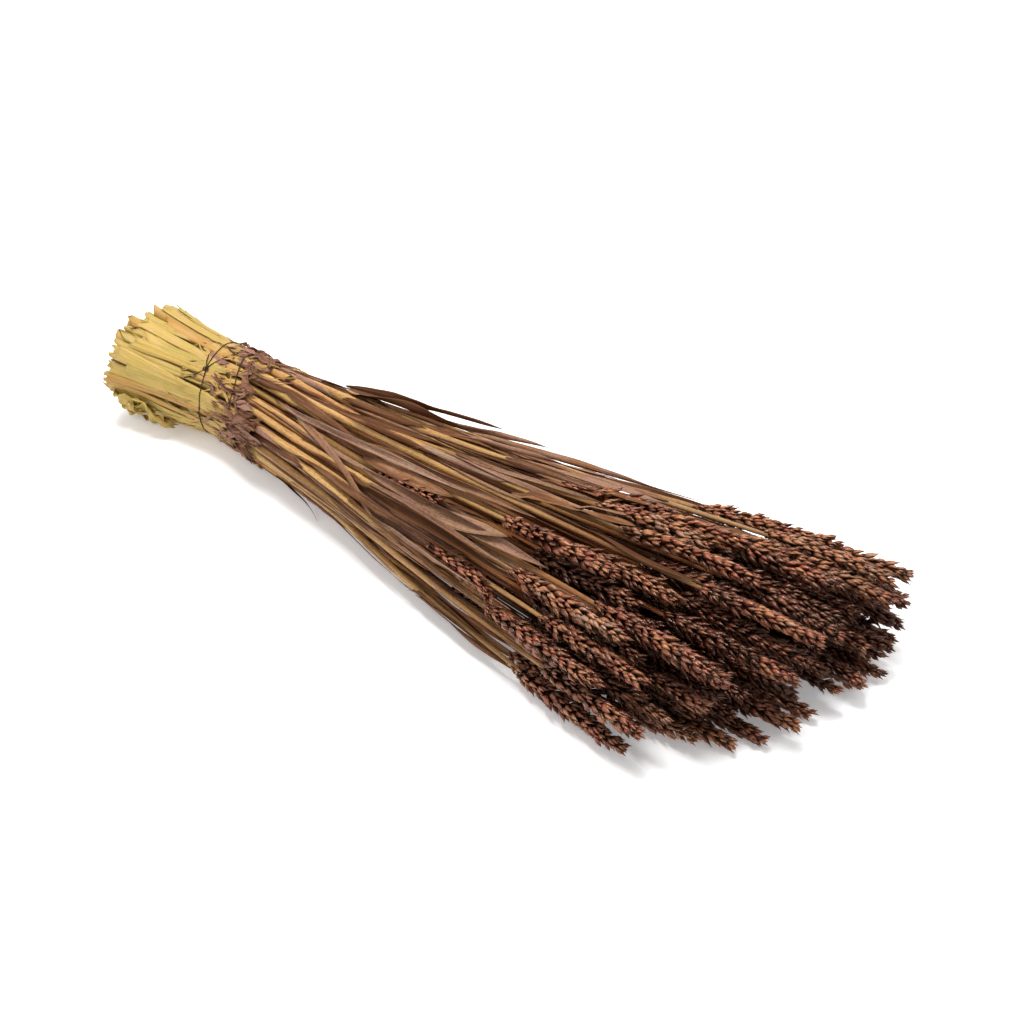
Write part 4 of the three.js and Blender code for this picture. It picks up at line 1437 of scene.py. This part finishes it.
def twine_finish(colours):
    """Dark brown twine with fibres along its plies."""
    shader = Shader("brown_twine")
    fibre = shader.noise((900, 2200, 2200), 3.0, 0.7)
    colour = shader.blend(fibre.over(0.4, 2.4), darker(colours.twine, 0.5), colours.twine)
    return shader.finish(colour, 0.7 + fibre * 0.2, shader.bump(fibre, 0.0002), 0.25)


def floor_finish(colours):
    """Pale and faintly glowing, so that shadows on it stay light."""
    shader = Shader("pale_floor")
    shader.set(shader.surface.inputs["Emission Color"], (1, 1, 1))
    shader.set(shader.surface.inputs["Emission Strength"], FLOOR_GLOW)
    return shader.finish(colours.floor, 0.85, specular=0.2)


# ---------------------------------------------------------------- settings


def length_prop(name, description, default):
    return FloatProperty(
        name=name, description=description, default=default, min=0, unit="LENGTH", precision=4
    )


def share_prop(name, description, default, low=0):
    return FloatProperty(
        name=name, description=description, default=default, min=low, max=1, subtype="FACTOR"
    )


def count_prop(name, description, default):
    return IntProperty(name=name, description=description, default=default, min=0)


def colour_prop(name, description, default):
    return FloatVectorProperty(
        name=name, description=description, default=default, subtype="COLOR", size=3, min=0, max=1
    )


class WheatSizes(bpy.types.PropertyGroup):
    straw_fullness: share_prop("Straw fullness", "Thickness of a straw over that of its solid", 0.88, 0.5)
    straw_wall: length_prop("Straw wall", "Thickness of a hollow straw's wall", 0.0006)
    sheathed: share_prop("Sheathed", "Share of the straws' joints that have kept their sheath", 0.62)
    strips: count_prop("Strips", "Narrow strips of leaf along each straw", 1)
    loose_tips: share_prop("Loose tips", "Share of the strips whose tip stands off the bundle", 0.12)
    bands: count_prop("Bands", "Broad pale sheaths on each outer straw's cut end", 2)
    band_width: length_prop("Band width", "Width of the broad sheaths at the cut end", 0.0105)
    leaf_width: length_prop("Leaf width", "Width of the dry leaves", 0.0090)
    lying_leaves: count_prop("Lying leaves", "Outer stalks with a leaf across their neighbours", 22)
    scale_length: length_prop("Scale length", "Length of the longest scales of an ear", 0.0082)
    scale_width: length_prop("Scale width", "Width of an ear's scales", 0.0034)
    spikelet_spacing: length_prop("Spikelet spacing", "Distance between the fans of scales", 0.0037)
    twine_radius: length_prop("Twine radius", "Half the thickness of the string", 0.00055)
    shreds: count_prop("Shreds", "Flat shreds of sheath between the turns of the string", 110)
    scraps: count_prop("Scraps", "Crumpled bits of sheath past the string", 62)
    folded_sheaths: count_prop("Folded sheaths", "Sheaths folded back at the cut end", 6)
    fibres: count_prop("Fibres", "Loose fibres of sheath at the string", 170)


class WheatColours(bpy.types.PropertyGroup):
    cut_end: colour_prop("Cut end", "Pale straw below the string", (0.50, 0.345, 0.088))
    straw: colour_prop("Straw", "Golden straw above the string", (0.58, 0.335, 0.115))
    beige_straw: colour_prop("Beige straw", "Bleached patches at the cut end", (0.56, 0.37, 0.19))
    straw_far: colour_prop("Far straw", "Browner straw near the ears", (0.36, 0.195, 0.095))
    straw_light: colour_prop("Light straw", "Ribs of a straw", (0.74, 0.53, 0.27))
    straw_shade: colour_prop("Shaded straw", "Grooves of a straw", (0.21, 0.085, 0.02))
    orange_straw: colour_prop("Orange straw", "Straws that took more of the dye", (0.42, 0.155, 0.04))
    green_straw: colour_prop("Green straw", "Straws that were cut green", (0.40, 0.34, 0.08))
    sheath: colour_prop("Sheath", "Dry brown sheath", (0.14, 0.055, 0.024))
    leaf: colour_prop("Leaf", "Papery leaf", (0.27, 0.125, 0.058))
    taupe: colour_prop("Taupe leaf", "Greyish brown leaf", (0.30, 0.17, 0.11))
    grey_leaf: colour_prop("Grey leaf", "Bleached leaf", (0.38, 0.25, 0.165))
    mauve: colour_prop("Mauve sheath", "Sheath near the string", (0.33, 0.165, 0.13))
    ear: colour_prop("Ear", "Scales of the ears", (0.20, 0.066, 0.029))
    ear_red: colour_prop("Red ear", "Redder scales", (0.24, 0.040, 0.018))
    ear_tan: colour_prop("Tan ear", "Paler, orange scales", (0.40, 0.15, 0.052))
    ear_grey: colour_prop("Grey ear", "Bleached, greyish scales", (0.27, 0.155, 0.10))
    ear_dark: colour_prop("Dark ear", "Dark scales", (0.05, 0.014, 0.0055))
    # painted highlight colour along the keels of the scales
    ear_keel_highlight: colour_prop("Light ear", "Ribs and edges of the scales", (0.52, 0.29, 0.19))
    # painted shade colour: what darkens the inside of the bundle and the gaps between stalks
    gap_shade_tint: colour_prop("Gap shade", "What darkens the inside of the bundle", (0.36, 0.155, 0.065))
    twine: colour_prop("Twine", "The string", (0.10, 0.045, 0.025))
    floor: colour_prop("Floor", "The surface below", (0.95, 0.95, 0.95))


def finishes():
    """The materials by name, each made once."""
    colours = bpy.context.scene.wheat_colours
    made = {}
    for name, make in (
        ("dry_straw", straw_finish),
        ("ear_scales", scale_finish),
        ("papery_leaf", leaf_finish),
        ("brown_twine", twine_finish),
    ):
        made[name] = bpy.data.materials.get(name) or make(colours)
    return made


def stalk_materials():
    """The materials of a stalk, in the order of its slots."""
    made = finishes()
    return [made["dry_straw"], made["ear_scales"], made["papery_leaf"]]


def scrap_materials():
    """The materials of the scraps of sheath, in the order of their slots."""
    made = finishes()
    return [made["dry_straw"], made["papery_leaf"]]


# ---------------------------------------------------------------- operators


class WHEAT_OT_stalks(bpy.types.Operator):
    """Dresses every stalk: its straw, sheaths, leaf and ear"""

    bl_idname = "wheat.stalks"
    bl_label = "Stalks"

    def execute(self, context):
        sizes = context.scene.wheat_sizes
        ears = Ears(sizes)
        for name, ranks in NODE_STALKS.items():
            stalks = [STALKS_READ[rank] for rank in ranks]
            parts = [straws_object(name + "_straws", stalks, sizes)]
            parts += [ears.along(f"ear_{stalk.rank + 1:02d}", stalk) for stalk in stalks]
            settle_piece(joined("wheat_" + name, parts), name)
        ears.done()
        return {"FINISHED"}


class WHEAT_OT_early_ears(bpy.types.Operator):
    """Sets the early, short ears among the outer straws"""

    bl_idname = "wheat.early_ears"
    bl_label = "Early ears"

    def execute(self, context):
        ears = Ears(context.scene.wheat_sizes)
        early = [EarlyEar(number, *place) for number, place in enumerate(EARLY_EARS)]
        parts = [ears.along(f"early_ear_{number}", ear) for number, ear in enumerate(early)]
        settle_piece(joined("early_ears", parts))
        ears.done()
        return {"FINISHED"}


class WHEAT_OT_string(bpy.types.Operator):
    """Winds the string twice round the straws and ties it"""

    bl_idname = "wheat.string"
    bl_label = "String"

    def execute(self, context):
        sizes = context.scene.wheat_sizes
        radius = sizes.twine_radius / MM
        loops, lengths, knot = string_paths(radius)
        vertices, edges = [], []
        for path, is_loop in [(p, True) for p in (*loops, knot)] + [(p, False) for p in lengths]:
            base = len(vertices)
            vertices.extend(path)
            edges += [(base + i, base + i + 1) for i in range(len(path) - 1)]
            if is_loop:
                edges.append((base + len(path) - 1, base))
        mesh = bpy.data.meshes.new("tie_string")
        mesh.from_pydata((np.array(vertices) * MM).tolist(), edges, [])
        piece = bpy.data.objects.new("tie_string", mesh)
        context.scene.collection.objects.link(piece)
        twine_tree().apply(
            piece,
            {
                "Radius": sizes.twine_radius,
                "Lay": TWINE_LAY * MM,
                "Sides": PLY_SIDES,
                "Step": TWINE_STEP * MM,
                "Material": finishes()["brown_twine"],
            },
        )
        settle_piece(piece, "string")
        return {"FINISHED"}


class ScrapKind(NamedTuple):
    """What the scraps of one kind share: rings along and across, curl, and range of shades."""

    steps: tuple
    curl: float
    tones: tuple


SHRED = ScrapKind((13, 7), 0.25, (0.45, 1))
SCRAP = ScrapKind((17, 7), 0.7, (0, 1))
FOLDED_SHEATH = ScrapKind((19, 11), 1.1, (0.1, 0.6))
FIBRE = ScrapKind((9, 3), 0.3, (0, 1))
UPPER_WAYS = (-0.9, math.pi + 0.9)  # directions in which scraps lie: all but the underside


def add_scrap(shape, rng, kind, x, angle, size, heading, crumple, slot, free=0.0):
    """A bit of torn sheath on the outside of the bundle, folded across and curled at its edges.
    It keeps the share called free of its height where the string passes."""
    length, width = size
    s = np.linspace(-0.5, 0.5, kind.steps[0])[:, None]
    t = np.linspace(-0.5, 0.5, kind.steps[1])[None]
    folds, lean = rng.uniform(6, 15) * min(1, 15 / length), rng.uniform(-4, 4)
    phase = rng.uniform(0, 2 * math.pi, 4)
    tilt = kind.curl * (np.sin(rng.uniform(2, 6) * s + phase[0]) + rng.uniform(-0.4, 0.4))
    wide = width * (1 - 0.72 * (2 * s * rng.uniform(0.5, 1)) ** 2) * (t + 0.1 * np.sin(9 * s + phase[1]))
    bend = rng.uniform(-0.25, 0.25) * length * s * s * 4
    forward = length * s * math.cos(heading) - (wide * np.cos(tilt) + bend) * math.sin(heading)
    aside = length * s * math.sin(heading) + (wide * np.cos(tilt) + bend) * math.cos(heading)
    rise = 0.3 + np.abs(wide * np.sin(tilt))
    rise = rise + crumple * (1 + np.sin(folds * s + lean * t + phase[2])) * 0.6
    rise = rise + crumple * 0.25 * np.sin(19 * s + 13 * t + phase[3])
    ragged = rng.uniform(-1, 1, kind.steps[1]) * np.exp(-(0.5 - np.abs(s)) * 9) * min(3, length / 6)
    forward, aside = x + (forward + ragged), angle + aside / SCRAP_REACH
    rise = rise * mix(pressed(forward, aside), 1, free) + rng.uniform(0.05, 0.8)
    places = OUTSIDE.on(forward.ravel(), aside.ravel(), rise.ravel())
    tone = rng.uniform(*kind.tones)
    shape.sheet(places.reshape(*forward.shape, 3), SCRAP_THICKNESS, slot, tone)


class WHEAT_OT_leaves(bpy.types.Operator):
    """Lays the loose dry leaves on the outside of the bundle"""

    bl_idname = "wheat.leaves"
    bl_label = "Loose leaves"

    def execute(self, context):
        rng = np.random.default_rng(LEAF_SEED)
        shape = Shape()
        for start, end, first_way, last_way, width, lift, tone, loose in LOOSE_LEAVES:
            x = NECK_X + np.arange(start, end, 4.0)
            angle = np.radians(np.linspace(first_way, last_way, len(x)))
            add_lying_leaf(shape, rng, x, angle, width, lift, tone, loose)
        settle_piece(shape.object("loose_leaves", stalk_materials()))
        return {"FINISHED"}


class WHEAT_OT_scraps(bpy.types.Operator):
    """Crumples the torn bits and fibres of sheath that the string holds"""

    bl_idname = "wheat.scraps"
    bl_label = "Scraps of sheath"

    def execute(self, context):
        rng = np.random.default_rng(SCRAP_SEED)
        sizes = context.scene.wheat_sizes
        shape = Shape()
        for _ in range(sizes.shreds):
            self.add_shred(shape, rng)
        for _ in range(sizes.scraps):
            self.add_crumpled(shape, rng)
        for _ in range(sizes.folded_sheaths):
            self.add_folded_sheath(shape, rng)
        settle_piece(shape.object("sheath_scraps", scrap_materials()))
        shape = Shape()
        for _ in range(sizes.fibres):
            self.add_fibre(shape, rng)
        settle_piece(shape.object("sheath_fibres", scrap_materials()))
        return {"FINISHED"}

    def add_shred(self, shape, rng):
        """Flat and pale, lying along the bundle between the turns of the string."""
        first, second = STRING_TURNS
        angle = rng.uniform(*UPPER_WAYS)
        x = mix(string_x(first, angle), string_x(second, angle), rng.uniform(-0.2, 1.05))
        size = rng.uniform(18, 40), rng.uniform(2.2, 6)
        slot = BROWN if rng.uniform() < 0.12 else PALE
        crumple = rng.uniform(0.1, 0.7)
        add_scrap(shape, rng, SHRED, x, angle, size, rng.normal(0, 0.2), crumple, slot)

    def add_crumpled(self, shape, rng):
        """Brown or mauve and crumpled, past the second turn."""
        angle = rng.uniform(*UPPER_WAYS)
        x = string_x(STRING_TURNS[1], angle) + 36 * rng.uniform() ** 1.4 - 9
        size = rng.uniform(10, 36), rng.uniform(2.5, 8)
        free = float(rng.uniform() < 0.35)
        heading, crumple = rng.normal(0, 0.33), rng.uniform(0.5, 1.8)
        add_scrap(shape, rng, SCRAP, x, angle, size, heading, crumple, BROWN, free)

    def add_folded_sheath(self, shape, rng):
        """Folded back, at the lower front of the cut end."""
        x = NECK_X - NECK + rng.uniform(22, 54)
        size = rng.uniform(20, 36), rng.uniform(8, 14)
        angle = math.pi + rng.uniform(0.3, 0.85)
        crumple = rng.uniform(2.5, 4.5)
        add_scrap(shape, rng, FOLDED_SHEATH, x, angle, size, rng.normal(0, 0.3), crumple, PALE)

    def add_fibre(self, shape, rng):
        """A loose fibre, anywhere near the string."""
        x = NECK_X + rng.uniform(-30, 42)
        angle = rng.uniform(*UPPER_WAYS)
        size = rng.uniform(12, 40), rng.uniform(0.35, 1.2)
        slot = BROWN if rng.uniform() < 0.3 else PALE
        heading, crumple = rng.normal(0, 0.22), rng.uniform(0.3, 1.3)
        add_scrap(shape, rng, FIBRE, x, angle, size, heading, crumple, slot)


class WHEAT_OT_stage(bpy.types.Operator):
    """Sets the pale floor, the soft light and the camera at the photograph's view"""

    bl_idname = "wheat.stage"
    bl_label = "Stage"

    def execute(self, context):
        scene = context.scene
        corners = [(x * FLOOR_HALF, y * FLOOR_HALF, 0) for x, y in ((-1, -1), (1, -1), (1, 1), (-1, 1))]
        mesh = bpy.data.meshes.new("floor")
        mesh.from_pydata(corners, [], [(0, 1, 2, 3)])
        mesh.materials.append(floor_finish(scene.wheat_colours))
        floor = bpy.data.objects.new("floor", mesh)
        scene.collection.objects.link(floor)

        for name, place, size, power in LIGHTS:
            light = bpy.data.lights.new(name, "AREA")
            light.size, light.energy = size, power
            lamp = bpy.data.objects.new(name, light)
            lamp.location = place
            lamp.rotation_euler = (LIT_PLACE - Vector(place)).to_track_quat("-Z", "Y").to_euler()
            scene.collection.objects.link(lamp)
        world = bpy.data.worlds.new("studio")
        world.use_nodes = True
        background = world.node_tree.nodes["Background"]
        background.inputs[0].default_value = (1, 1, 1, 1)
        background.inputs[1].default_value = WORLD_LIGHT
        scene.world = world
        scene.view_settings.view_transform = "Standard"

        azimuth, elevation = math.radians(CAMERA_AZIMUTH), math.radians(CAMERA_ELEVATION)
        flat = math.cos(elevation)
        back = Vector((math.sin(azimuth) * flat, -math.cos(azimuth) * flat, math.sin(elevation)))
        data = bpy.data.cameras.new("photo_view")
        data.lens = FOCAL_PIXELS / IMAGE_WIDTH * data.sensor_width
        camera = bpy.data.objects.new("photo_view", data)
        camera.location = LOOK_AT + back * CAMERA_DISTANCE
        camera.rotation_euler = (-back).to_track_quat("-Z", "Y").to_euler()
        scene.collection.objects.link(camera)
        scene.camera = camera
        return {"FINISHED"}


class WHEAT_PT_panel(bpy.types.Panel):
    bl_label = "Dried wheat bundle"
    bl_idname = "WHEAT_PT_panel"
    bl_space_type = "VIEW_3D"
    bl_region_type = "UI"
    bl_category = "Wheat"

    def draw(self, context):
        layout = self.layout
        for operator in OPERATORS:
            layout.operator(operator.bl_idname)
        for group in (context.scene.wheat_sizes, context.scene.wheat_colours):
            column = layout.column()
            for key in group.__annotations__:
                column.prop(group, key)


OPERATORS = (
    WHEAT_OT_stalks,
    WHEAT_OT_early_ears,
    WHEAT_OT_string,
    WHEAT_OT_leaves,
    WHEAT_OT_scraps,
    WHEAT_OT_stage,
)
CLASSES = (WheatSizes, WheatColours, *OPERATORS, WHEAT_PT_panel)


def register():
    for cls in CLASSES:
        bpy.utils.register_class(cls)
    bpy.types.Scene.wheat_sizes = PointerProperty(type=WheatSizes)
    bpy.types.Scene.wheat_colours = PointerProperty(type=WheatColours)


def unregister():
    del bpy.types.Scene.wheat_sizes
    del bpy.types.Scene.wheat_colours
    for cls in reversed(CLASSES):
        bpy.utils.unregister_class(cls)


def main():
    register()
    bpy.ops.wheat.stalks()
    bpy.ops.wheat.early_ears()
    bpy.ops.wheat.string()
    bpy.ops.wheat.leaves()
    bpy.ops.wheat.scraps()
    bpy.ops.wheat.stage()


if __name__ == "__main__":
    main()
